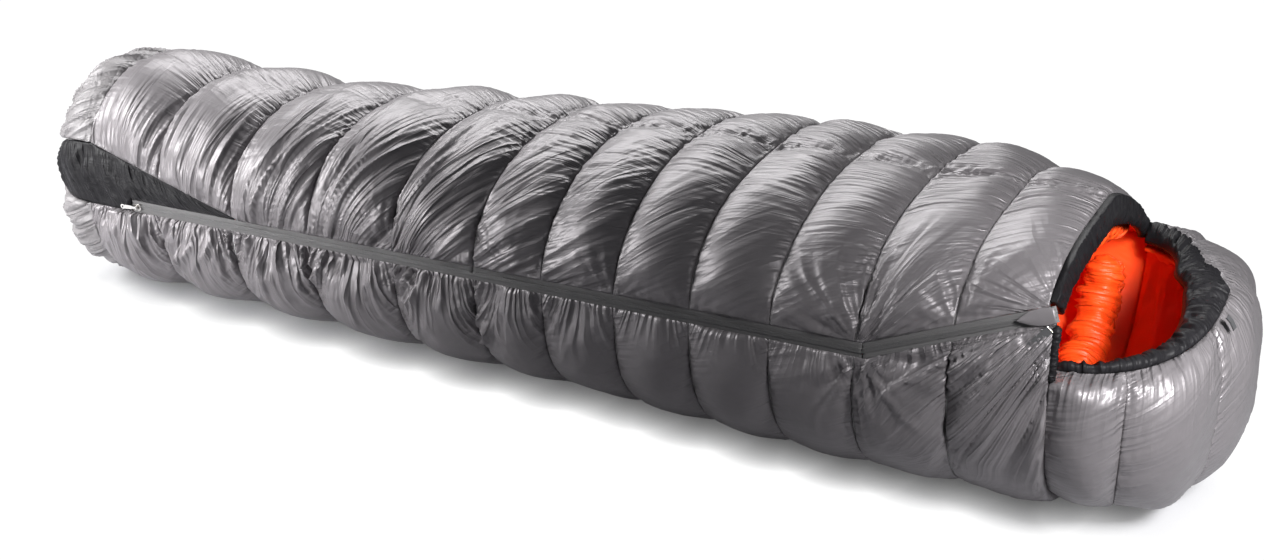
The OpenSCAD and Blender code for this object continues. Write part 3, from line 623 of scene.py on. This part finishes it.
# ---------------- foot
# angles between which the gusset lies at the first seam, and half the gap beside it, in degrees
GUSSET_LOW_T = float(near_t(np.array(END_SEAM), over_zip(np.array(END_SEAM), -ZIP_EDGE)))
GUSSET_HIGH_T = float(near_t(np.array(END_SEAM), np.array(GUSSET_Z)))
GUSSET_GAP_T = 0.25


def foot_band():
    rows, cols = 26, 300
    u = np.linspace(0, 1, rows + 1)
    s = mix(PANEL_S, END_SEAM - WALL_GAP, u)
    t, arc = ring_angles(np.full(rows + 1, END_SEAM), np.full(rows + 1, GUSSET_LOW_T + GUSSET_GAP_T),
                         np.full(rows + 1, 360 + GUSSET_HIGH_T - GUSSET_GAP_T), cols)
    rise = PUFF * END_SEAM / 2 * np.sin(np.pi * u)[:, None]
    base = skin(s[:, None], t, rise)
    normals = outward(base, grid_normals(base), np.array([300, 0, FOOT_Z]))
    run = s[:, None] + 0 * arc
    gather = folds(arc + 0.5 * run, run, 17, 160, 401) * 13 + folds(arc + 0.5 * run, run, 8, 90, 431) * 5
    ends = within(u, 1, 0.06, 0.06)
    outer = base + normals * (gather * ends[:, None])[..., None]
    outer[..., 2] = np.maximum(outer[..., 2], 0)
    inner = skin(s[:, None], t, -SEAM_T - CROWN_IN * np.sin(np.pi * u)[:, None])
    pad("gathered_foot_band", outer, inner, (run, arc, 0), BODY_BAG, ["foot_band"], FOOT,
        None, (arc + 0.5 * run, run, 0.9 * ends[:, None]), (run, arc, 0.2))


def foot_end_panel():
    rows, cols = 24, 120
    r = np.linspace(0.02, 1, rows + 1)[:, None]
    t = np.linspace(0, 360, cols + 1)[None, :]
    y, z = section(np.full((1, cols + 1), END_SEAM), t, 0.0)
    rim_x = PANEL_S - LAYER_GAP
    crown = rim_x * power(1 - r ** 2.6, 0.6)
    arc = np.radians(t) * 200
    gather = folds(arc, r * 100, 14, 90, 501) * 3.5 * smooth(r / 0.3) * smooth((1 - r) / 0.04)
    x = rim_x - crown + gather + 0 * t
    side, up = y * END_SHARE * r, FOOT_Z + (z - FOOT_Z) * END_SHARE * r
    outer = np.stack([place(np.maximum(x, 0)), side, up], -1)
    inner = np.stack([place(rim_x + 0.3 + 0 * x), side, up], -1)
    inner[-1] = outer[-1] + np.array([0.3, 0, 0])
    bm = bmesh.new()
    pad("", outer, inner, (r * 100, arc, 0), into=bm)
    bmesh.ops.remove_doubles(bm, verts=bm.verts[:], dist=1e-5)
    bmesh.ops.recalc_face_normals(bm, faces=bm.faces[:])
    finish_piece(bm, "gathered_end_panel", BODY_BAG, ["foot_end_panel"], FOOT)


def foot_gusset():
    cols = 30
    steps = np.concatenate([np.linspace(PANEL_S, END_SEAM, 26)[:-1],
                            [END_SEAM, mix(END_SEAM, ZIP_S, 0.5), ZIP_S - 8, ZIP_S - 2],
                            np.linspace(ZIP_S, GUSSET_TIP - 12, 40)[1:]])
    steps = np.unique(np.concatenate([steps, np.linspace(END_SEAM, ZIP_S - 8, 16)]))
    v = np.linspace(1, 0, cols + 1)[None, :]
    s = steps[:, None]
    inside = np.maximum(s, END_SEAM)
    low_z = over_zip(inside, np.where(inside < ZIP_S - 4, LAYER_GAP - ZIP_EDGE, ZIP_EDGE))
    t_side = mix(near_t(inside, low_z), near_t(inside, gusset_top(inside)), v)
    t = np.where(s < END_SEAM, mix(GUSSET_LOW_T - GUSSET_GAP_T, GUSSET_HIGH_T + GUSSET_GAP_T, v), t_side)
    size = 1 - s / GUSSET_TIP
    base = skin(s, t, 12 * np.sin(np.pi * v) * size)
    normals = outward(base, grid_normals(base), np.array([400, 0, FOOT_Z]))
    down = (1 - v) * 160
    gather = folds(s - 0.3 * down, down, 19, 130, 611) * 10 + folds(s - 0.3 * down, down, 9, 60, 613) * 2
    hold = (smooth(np.minimum(v, 1 - v) / 0.1) * smooth((GUSSET_TIP - 12 - s) / 60)
            * smooth((s - PANEL_S) / 12))
    outer = base + normals * (gather * hold * np.minimum(1, size * 1.6))[..., None]
    inner = skin(s, t, -SEAM_T)
    pad("quilted_gusset", outer, inner, (s, down, 0), BODY_BAG, ["foot_gusset"], BLACK,
        None, (s - 0.3 * down, down, 0.6 * hold), (down + 0.3 * s, s, 0.1))


# ---------------- hood
HOOD_SEAMS = (-90, -66, -22, 22, 66, 90)        # degrees round the mouth, from the zip side to the far side
SEAM_GAP_T = 0.1
HOOD_N = 2.4
RIM_LEAN, FAR_LEAN = 34, 70
FACING_W, FACING_END_W = 58, 26
CROWN_BELT_Z = 212
RIM_Z, RIM_END_Z = 318, 284


def hood(phi, w, d):
    """Point of the hood, d outside its seam surface: phi is the angle round the mouth, and w runs from -1
    at the facing's edge over 0 at the rim and 1 at the widest line to 2 underneath."""
    phi, w, d = np.broadcast_arrays(np.asarray(phi, float), np.asarray(w, float), np.asarray(d, float))
    c, s = np.cos(np.radians(phi)), np.sin(np.radians(phi))
    neck_half = float(half_w(np.array(NECK_S)))

    def belt(d):
        return ((HOOD_LEN + d) * power(c, 2 / HOOD_N),
                (neck_half + d) * np.sign(phi) * power(np.abs(s), 2 / HOOD_N))

    wx, wy = belt(d)
    rx, ry = belt(0)
    size = np.maximum(np.hypot(rx, ry), 1)
    lean = RIM_LEAN + FAR_LEAN * np.maximum(0, np.sin(np.radians(2 * phi)))
    opening = mix(FACING_W, FACING_END_W, np.abs(phi) / 90)
    upper, under = np.radians(90 * w), np.radians(90 * (w - 1))
    k = np.where(w < 0, 1 - (lean - w * opening) / size,
                 np.where(w < 1, 1 - lean * (1 - np.sin(upper)) / size, 1))
    q = power(np.cos(under), 2 / FLOOR_N)
    bz = mix(CROWN_BELT_Z, NECK_BELT_Z, power(np.abs(phi) / 90, 1.5))
    rz = mix(RIM_Z, RIM_END_Z, np.where(phi < 0, power(-phi / 90, 0.8), phi / 90))
    z = np.where(w < 0, rz + d, np.where(
        w < 1, bz + (rz + d - bz) * power(np.cos(upper), 2 / BODY_N),
        bz - (bz - FLOOR_SEAM + d) * power(np.sin(under), 2 / FLOOR_N)))
    px, py = HOOD_LEN * 0.55 * c, 3 * s
    q = np.where(w > 1, mix(q, power(np.cos(under), 1.0), 0.8), q)
    x = np.where(w < 1, wx * k, mix(px, wx, q))
    y = np.where(w < 1, wy * k, mix(py, wy, q))
    return np.stack([place(NECK_S + LAYER_GAP + x), y, np.maximum(0, z)], -1)


def grid_arc(points):
    """Distances along the two ways of a grid."""
    du = np.linalg.norm(np.diff(points, axis=0), axis=-1)
    dv = np.linalg.norm(np.diff(points, axis=1), axis=-1)
    a = np.concatenate([np.zeros((1, points.shape[1])), np.cumsum(du, axis=0)])
    b = np.concatenate([np.zeros((points.shape[0], 1)), np.cumsum(dv, axis=1)], axis=1)
    return a, b


def hood_gore(index, name):
    a0 = HOOD_SEAMS[index] + (0 if index == 0 else SEAM_GAP_T)
    a1 = HOOD_SEAMS[index + 1] - (0 if index == 4 else SEAM_GAP_T)
    rows, cols = 44, 110
    u = np.linspace(0, 1, rows + 1)
    u = mix(u, (1 - np.cos(np.pi * u)) / 2, 0.45)
    phi = mix(a0, a1, u)[:, None]
    w = np.linspace(0, 2, cols + 1)[None, :]
    a, b = grid_arc(hood(phi, w, 0))
    total = b[:, -1:]
    fade = smooth(w) * (1 - 0.8 * smooth((w - 1.15) / 0.6))
    rise = PUFF * TORSO * power(np.sin(np.pi * u), 0.9)[:, None]
    base = hood(phi, w, rise * fade)
    middle = base.reshape(-1, 3).mean(0) * np.array([0.3, 0.3, 0.9])
    normals = outward(base, grid_normals(base), middle)
    edge = np.minimum(a, a[-1:] - a)
    seed = 700 + index * 17
    crease = folds(b + 0.3 * a, edge, 10, 40, seed) * np.exp(-edge / 18) * 4.5
    crease += folds(b + 0.6 * a, a, 26, 120, seed + 5) * 3
    crease += folds(a, b, 15, 60, seed + 7) * np.exp(-(b / 46) ** 1.4) * 8
    crease += (noise(a / 80, b / 100, seed) - 0.5) * 9 * smooth(edge / 40)
    hold = (smooth(edge / 5) * 0.85 + 0.15) * smooth(b / 6) * smooth((total - b) / 20)
    outer = base + normals * (crease * hold)[..., None]
    outer[..., 2] = np.maximum(outer[..., 2], 0)
    inner = hood(phi, w, -SEAM_T - CROWN_IN * np.sin(np.pi * u)[:, None] * fade)
    pleats = (a + index * 70, b, 0.9 * np.exp(-(b / 50) ** 1.4))
    creases = (b + 0.4 * a, a + index * 90, 0.6 * np.exp(-edge / 22) + 0.15)
    pad("quilt_" + name, outer, inner, (a, b, index * 0.05), BODY_BAG, [name], SHELL,
        None, pleats, creases)


def hood_facing():
    rows, cols = 320, 22
    phi = np.linspace(-90, 90, rows + 1)[:, None]
    v = np.linspace(0, 1, cols + 1)[None, :]
    w = mix(-0.025, -1, v)
    a, b = grid_arc(hood(phi, w, 0))
    a = a[:, :1] + 0 * a
    base = hood(phi, w, 12 * power(np.sin(np.pi * v), 0.8))
    normals = grid_normals(base)
    normals *= np.sign(normals[..., 2:3].mean())
    gather = folds(a + 0.2 * b, b, 15, 90, 811) * 12 + folds(a, b, 8, 50, 813) * 4
    hold = within(v, 1, 0.12, 0.1) * mix(0.55, 1, np.cos(np.radians(phi)))
    outer = base + normals * (gather * hold)[..., None]
    inner = hood(phi, w, -SEAM_T - 7 * np.sin(np.pi * v))
    pad("gathered_hood_band", outer, inner, (a, b, 0), BODY_BAG, ["hood_facing"], BLACK,
        None, (a + 0.2 * b, b, 0.7 * hold), (b, a, 0.15))


def end_binding():
    """Black binding up the end of the bottom quilt, from the hood band to the top end of the zip."""
    count = 60
    z = np.linspace(ZIP_BEND_Z, 360, count)
    t = near_t(np.full(count, NECK_S), z)
    centre = skin(NECK_S, t, -5.0) + np.array([1.5, 0, 0])
    path = np.gradient(centre, axis=0)
    path /= np.linalg.norm(path, axis=1, keepdims=True)
    side = (1.0, 0, 0)
    along = np.linspace(0, 110, count)
    radius = 6.0 + folds(along[:, None], RING * 8, 12, 30, 1701) * 3
    tube("end_binding", centre, side, np.cross(path, side), radius * taper(along, 8), along, BODY_BAG, [],
         BLACK)


def neck_facing():
    rows, cols = 26, 300
    s_n = np.full(rows + 1, NECK_S)
    t, arc = ring_angles(s_n, *lining_edges(s_n, False), cols)
    v = np.linspace(0, 1, rows + 1)[:, None]      # 0 at the shell, round the end, 1 at the lining
    depth = mix(0.0, -50.0, v)
    round_end = power(np.sin(np.pi * np.clip(v * 0.94 + 0.03, 0, 1)), 0.6)
    gather = folds(arc, v * 60, 16, 80, 911) * 6 + folds(arc, v * 60, 7, 40, 913) * 2.5
    ends = within(v, 1, 0.1, 0.1)
    out = np.where(v < 0.25, 5 * np.sin(np.pi * v / 0.25), 0)
    s = NECK_S - FACING_L * 0.55 + FACING_L * 0.5 * round_end + gather * ends * 0.7
    outer = skin(np.minimum(s, NECK_S + 3), t, depth + out)
    inner = skin(NECK_S - FACING_L + 0 * s, t, depth)
    pad("gathered_neck_band", outer, inner, (v * 60, arc, 0), BODY_LID, ["neck_facing"],
        BLACK)


# ---------------- lining
def lining(name, s0, s1, bottom, body):
    """Quilted inner face of one half between two stations."""
    cells = [q for q in SEAMS if s0 + 5 < q < s1 - 5]
    edges = [s0] + cells + [s1]
    stations = np.unique(np.concatenate([np.linspace(a, b, 17) for a, b in zip(edges[:-1], edges[1:])]))
    t, arc = ring_angles(stations, *lining_edges(stations, bottom), 110)
    total = arc[:, -1:]
    s = stations[:, None] + 0 * arc
    cell = np.searchsorted(edges, stations - 1e-6) - 1
    cell = np.clip(cell, 0, len(edges) - 2)
    left, right = np.array(edges)[cell], np.array(edges)[cell + 1]
    u = ((stations - left) / (right - left))[:, None]
    edge = np.minimum(s - left[:, None], right[:, None] - s)
    ends = within(arc, total, 60, 60)
    calm = np.where(stations > NECK_S - 120, 0.25, 1.0)[:, None]
    puffy = 11 * power(np.sin(np.pi * u), 0.7) * ends * calm
    crease = folds(arc, s, 18, 90, 1000 + len(name)) * (0.4 + np.exp(-edge / 25)) * 3.0 * ends * calm
    back = skin(s, t, LINING_D)
    face = skin(s, t, LINING_D - LINING_T - puffy - np.maximum(crease + 1.2, 0))
    pad("quilted_" + name, face, back, (s, arc, 0), body, [name], ORANGE)


def hood_lining():
    rows, cols = 150, 90
    phi = np.linspace(-89.99, 89.99, rows + 1)[:, None]
    w = np.linspace(0, 1.98, cols + 1)[None, :]
    d = LINING_D - LINING_GAP
    a, b = grid_arc(hood(phi, w, d))
    along = a[:, :1] + 0 * a
    cell = np.clip(np.searchsorted(HOOD_SEAMS, phi[:, 0]) - 1, 0, 4)
    left, right = np.array(HOOD_SEAMS)[cell], np.array(HOOD_SEAMS)[cell + 1]
    u = np.clip((phi[:, 0] - left) / (right - left), 0, 1)[:, None]
    fade = within(b, b[:, -1:], 40, 60)
    puffy = 20 * power(np.sin(np.pi * u), 0.7) * fade
    crease = folds(along, b, 24, 160, 1201) * 12 * fade * np.exp(-(b / 260) ** 2)
    crease += folds(b, along, 18, 60, 1203) * 3 * fade
    back = hood(phi, w, d)
    face = hood(phi, w, d - LINING_T - puffy - np.maximum(crease + 3, 0))
    pad("quilted_hood_lining", face, back, (along, b, 0), BODY_BAG, ["hood_lining"],
        ORANGE)


RING = np.linspace(0, 2 * np.pi, 28, endpoint=False)       # angles of the points round a tube


def taper(run, length):
    """Draws the ends of a tube together, over a length."""
    return power(np.clip(np.minimum(run - run[0], run[-1] - run) / length, 0.02, 1), 0.5)[:, None]


def tube(name, centre, side, up, radius, cloth, body, nodes, material):
    """Puffy tube: rings of points round a path, in the plane of side and up."""
    around = len(RING)
    side, up = np.broadcast_to(side, centre.shape), np.broadcast_to(up, centre.shape)
    bm = bmesh.new()
    on_cloth = bm.verts.layers.float_vector.new("cloth")
    gathers = bm.verts.layers.float_vector.new("pleats")
    rows = []
    for k in range(len(centre)):
        ring = bmesh.ops.create_circle(bm, segments=around, radius=1.0)["verts"]
        for q, v in enumerate(ring):
            p = centre[k] + (side[k] * math.cos(RING[q]) + up[k] * math.sin(RING[q])) * radius[k, q]
            v.co = Vector(p / 1000)
            on_ring = RING[q] * 0.03            # metres of cloth, as on a tube of 30 mm
            v[on_cloth] = (cloth[k] / 1000, on_ring, 0)
            v[gathers] = (cloth[k] / 1000, on_ring, 0.8)
        rows.append(ring)
    for first, second in zip(rows[:-1], rows[1:]):
        for q in range(around):
            r = (q + 1) % around
            bm.faces.new((first[q], first[r], second[r], second[q]))
    bm.faces.new(rows[0][::-1])
    bm.faces.new(rows[-1])
    bmesh.ops.recalc_face_normals(bm, faces=bm.faces[:])
    return finish_piece(bm, name, body, nodes, material)


def collar(name, bottom, body):
    """Draught collar: a gathered tube round one half of the neck."""
    r = 36.0
    s = LID_END - r - 6
    at = np.full(1, s)
    t, arc = ring_angles(at, *lining_edges(at, bottom), 163)
    t, arc = t[0, 7:-7], arc[0, 7:-7]
    depth = LINING_D - LINING_T - 4 - r
    centre = skin(s, t, depth)
    inward = skin(s, t, depth - 10) - centre
    inward /= np.linalg.norm(inward, axis=1, keepdims=True)
    gather = folds(arc[:, None], RING * r, 17, 90, 1300 + bottom) * 17 - 2
    radius = np.minimum((r - 3 + gather) * taper(arc, 26), r + 2)
    tube("gathered_" + name, centre, (1.0, 0, 0), inward, radius, arc, body, [name], ORANGE)


def draught_tube(name, s0, s1, body):
    """Tube behind the zip, resting on the edges of the two linings."""
    r = 18
    s = np.linspace(s0, s1, 120)
    seat = math.sqrt(r ** 2 - ZIP_EDGE ** 2) + LAYER_GAP
    centre = skin(s, near_t(s, zip_z(s)), LINING_D - LINING_T - seat - 3)
    gather = folds(s[:, None], RING * r, 17, 60, 1400) * 4
    radius = (r - 1 + gather * 0.6) * taper(s, 16)
    tube("puffy_" + name, centre, (0, 1.0, 0), (0, 0, 1.0), radius, s, body, [name], ORANGE)


def far_seam():
    """Cloth in the far side seam: it joins the torso quilt to the bag when the quilt is turned back."""
    reach = 11.0
    layers = (("shell", -1.5, -6.0, SHELL), ("lining", LINING_D - 0.5, LINING_D - 1.7, ORANGE))
    for label, s0, s1 in (("straight", HIP_S + WALL_GAP, BEND_S), ("head", BEND_S, LID_END)):
        s = np.linspace(s0, s1, int((s1 - s0) / 6) + 1)[:, None]
        gap = np.linspace(-reach, reach, 25)[None, :]
        z = belt_z(s) + gap
        for part, d_out, d_in, material in layers:
            gather = 1.2 * folds(s, gap, 16, 40, 1801) * (1 - (gap / reach) ** 2)
            half = half_w(s)
            outer = np.stack([place(s) + 0 * gap, half + d_out + gather, z], -1)
            inner = np.stack([place(s) + 0 * gap, half + d_in + gather, z], -1)
            strip = pad("far_seam_%s_%s" % (part, label), outer, inner, (s, gap, 0), None, [], material,
                        None, (s, gap, 0.7))
            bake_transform(strip)


# ---------------- zip
def zip_frame(s, half, low, run, roll, pitch, yaw):
    """A straight part of the zip: where it starts, how it is turned, and its length."""
    cx, sx, cy, sy, cz, sz = (f(a) for a in (roll, -pitch, -yaw) for f in (math.cos, math.sin))
    round_x = np.array([[1, 0, 0], [0, cx, -sx], [0, sx, cx]])
    round_y = np.array([[cy, 0, sy], [0, 1, 0], [-sy, 0, cy]])
    round_z = np.array([[cz, -sz, 0], [sz, cz, 0], [0, 0, 1]])
    length = run / math.cos(yaw) / math.cos(pitch)
    return np.array([place(s), -half, low]), round_z @ round_y @ round_x, length


MAIN_ZIP = zip_frame(ZIP_S, FOOT_HALF_W, ZIP_LOW_Z, MAIN_RUN, 0.0, MAIN_PITCH, MAIN_YAW)
HEAD_ZIP = zip_frame(BEND_S, SHOULDER_HALF_W, ZIP_BEND_Z, HEAD_RUN, math.radians(-14.0), HEAD_PITCH, HEAD_YAW)
# the two strips on each side: look, name, material, width, from and to in height, ribs, seed
STRIPS = (("woven", "tape", TAPE, 10.8, -1.5, -0.4, 0.2, 3),
          ("ribbed", "coil", COIL, 3.43, -0.35, 1.5, 0.12, 5))


def on_zip(part, along, out, high):
    """Point of a part of the zip: along it, out from the bag, and high over its middle line."""
    origin, turned = part[:2]
    local = np.stack(np.broadcast_arrays(along, -out, high), -1)
    return origin + local @ turned.T


def zip_strip(bm, part, start, stop, side, width, out_low, out_high, ribs, seed):
    """One half of the zip's tape or coil as a closed strip with fine ribs along it."""
    rows, cols = max(8, int((stop - start) / 6)), 12
    along = np.linspace(start, stop, rows + 1)[:, None]
    v = np.linspace(0, 1, cols + 1)[None, :]
    high = side * (0.02 + width * v)        # the two sides stay just apart
    lift = ribs * np.cos(2 * np.pi * v * 3) + 0.35 * (noise(along / 30, v * 0, seed) - 0.5)
    rim = smooth(np.minimum(v, 1 - v) / 0.08)
    outer = on_zip(part, along, out_high - 0.25 * (1 - rim) + lift * rim, high)
    inner = on_zip(part, along, out_low, high)
    pad("", outer, inner, (along, v * width, 0), into=bm)


def zip_tapes():
    main_l, head_l = MAIN_ZIP[2], HEAD_ZIP[2]
    hip_along = (HIP_S - ZIP_S) / MAIN_RUN * main_l
    to_end = (HEAD_ZIP, 0, head_l - LAYER_GAP)
    for name, body, side, runs in (
            ("lower", BODY_BAG, -1, ((MAIN_ZIP, 0, main_l), to_end)),
            ("leg", BODY_BAG, 1, ((MAIN_ZIP, 0, hip_along - LAYER_GAP),)),
            ("torso", BODY_LID, 1, ((MAIN_ZIP, hip_along + LAYER_GAP, main_l), to_end))):
        for look, kind, material, *form in STRIPS:
            bm = bmesh.new()
            for part, start, stop in runs:
                zip_strip(bm, part, start, stop, side, *form)
            finish_piece(bm, "_".join((look, name, kind)), body, [name + "_" + kind], material)


def garage():
    """Leaf-shaped flap over the head slider."""
    out, thick = 8.2 + 0.2, 0.9
    rows, cols = 24, 14
    x = np.linspace(0, 1, rows + 1)[:, None]
    v = np.linspace(-1, 1, cols + 1)[None, :]
    half = 12.5 * power(np.sin(np.pi * np.clip(x * 0.62, 0.001, 1)), 0.8) * (1 - 0.25 * power(x, 6))
    along = HEAD_ZIP[2] - 2 - 50 * (1 - x)
    high = half * v + 2 * (1 - x)
    crown = 2.2 * (1 - v ** 2) + 0.8 * folds(along, high, 16, 50, 1501)
    outer = on_zip(HEAD_ZIP, along, out + crown, high)
    inner = on_zip(HEAD_ZIP, along, out - thick + crown * 0.8, high)
    pad("leaf_flap", outer, inner, (along, high, 0), "garage_flap", ["zip_garage"], SHELL)


# ---------------- the bag
for i in range(1, COUNT + 1):
    chamber(i, False)
    chamber(i, True)
baffle_walls()
foot_band()
foot_end_panel()
foot_gusset()
for i, gore in enumerate(("near_side", "near_crown", "crown", "far_crown", "far_side")):
    hood_gore(i, "hood_" + gore)
hood_facing()
neck_facing()
end_binding()
lining("bottom_lining", END_SEAM, NECK_S - WALL_GAP, True, BODY_BAG)
lining("leg_lining", END_SEAM, HIP_S - WALL_GAP, False, BODY_BAG)
lining("torso_lining", HIP_S + WALL_GAP, LID_END, False, BODY_LID)
hood_lining()
collar("lower_collar", True, BODY_BAG)
collar("upper_collar", False, BODY_LID)
draught_tube("leg_draught_tube", ZIP_S, HIP_S - WALL_GAP, BODY_BAG)
draught_tube("torso_draught_tube", HIP_S + WALL_GAP, BEND_S, BODY_LID)
far_seam()
zip_tapes()
garage()

for name, material in (("foot_slider", METAL), ("foot_pull", METAL), ("head_slider", METAL),
                       ("head_pull", WEBBING), ("hanging_loops", WEBBING), ("hood_strap", WEBBING),
                       ("inner_tag", TAG)):
    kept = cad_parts[name]
    kept.data.materials.clear()
    kept.data.materials.append(material)


# ---------------- floor, light and camera
def studio():
    """White floor and sky, and four lamps."""
    bm = bmesh.new()
    bmesh.ops.create_grid(bm, x_segments=1, y_segments=1, size=12)
    mesh = bpy.data.meshes.new("floor")
    bm.to_mesh(mesh)
    bm.free()
    floor = bpy.data.objects.new("floor", mesh)
    bpy.context.scene.collection.objects.link(floor)
    white, tree, shader = new_material("floor_white")
    feed(tree, shader, Base_Color=(0.5, 0.5, 0.52, 1), Roughness=0.7)
    glow = node(tree, "ShaderNodeEmission", Color=(1.0, 1.0, 1.0, 1), Strength=1.06)
    rays_at = node(tree, "ShaderNodeLightPath")
    # white to the camera except close under the bag, where its shadow shows
    open_sky = node(tree, "ShaderNodeAmbientOcclusion", samples=8, Distance=0.05)
    share = calculate(tree, "MULTIPLY", calculate(tree, "POWER", open_sky.outputs["AO"], 1.3), 0.975)
    seen = calculate(tree, "MULTIPLY", rays_at.outputs["Is Camera Ray"], share)
    both = node(tree, "ShaderNodeMixShader", seen, shader.outputs[0], glow.outputs[0])
    feed(tree, tree.nodes["Material Output"], Surface=both.outputs[0])
    mesh.materials.append(white)

    world = bpy.data.worlds.new("studio")
    world.use_nodes = True
    bpy.context.scene.world = world
    tree = world.node_tree
    ground = tree.nodes["Background"]
    feed(tree, ground, Color=(0.93, 0.96, 1.0, 1), Strength=0.12)
    seen = node(tree, "ShaderNodeBackground", Color=(1, 1, 1, 1), Strength=1.0)
    rays_at = node(tree, "ShaderNodeLightPath")
    both = node(tree, "ShaderNodeMixShader", rays_at.outputs["Is Camera Ray"], ground.outputs[0],
                seen.outputs[0])
    feed(tree, tree.nodes["World Output"], Surface=both.outputs[0])

    for name, at, aim, size, watts, spread in (
            ("overhead", (-1.0, 1.4, 1.65), (-0.1, 0.0, 0.25), (2.6, 0.6), 60, 180),
            ("foot_side", (-2.1, -0.6, 1.1), (-0.7, -0.1, 0.2), (0.6, 0.6), 40, 180),
            ("leg_front", (-1.5, -1.7, 0.45), (-0.75, -0.2, 0.1), (0.5, 0.5), 3.8, 50),
            ("head_end", (1.72, -0.95, 1.2), (0.99, -0.03, 0.2), (0.4, 0.4), 5.0, 45)):
        lamp = bpy.data.lights.new(name, "AREA")
        lamp.shape = "RECTANGLE"
        lamp.size, lamp.size_y = size
        lamp.energy = watts
        lamp.spread = math.radians(spread)
        holder = bpy.data.objects.new(name, lamp)
        holder.location = at
        holder.rotation_euler = (Vector(aim) - Vector(at)).to_track_quat("-Z", "Y").to_euler()
        bpy.context.scene.collection.objects.link(holder)


def camera():
    lens = bpy.data.cameras.new("camera")
    lens.lens = 47.53
    lens.sensor_width = 36
    lens.clip_end = 100
    holder = bpy.data.objects.new("camera", lens)
    azimuth, elevation, distance = math.radians(27.5), math.radians(22.6), 2.8025
    target = Vector((0.0939, 0.0, 0.153))
    back = Vector((math.sin(azimuth) * math.cos(elevation), -math.cos(azimuth) * math.cos(elevation),
                   math.sin(elevation)))
    holder.location = target + back * distance
    holder.rotation_euler = (-back).to_track_quat("-Z", "Y").to_euler()
    bpy.context.scene.collection.objects.link(holder)
    bpy.context.scene.camera = holder


studio()
camera()
bpy.context.scene.view_settings.view_transform = "Standard"
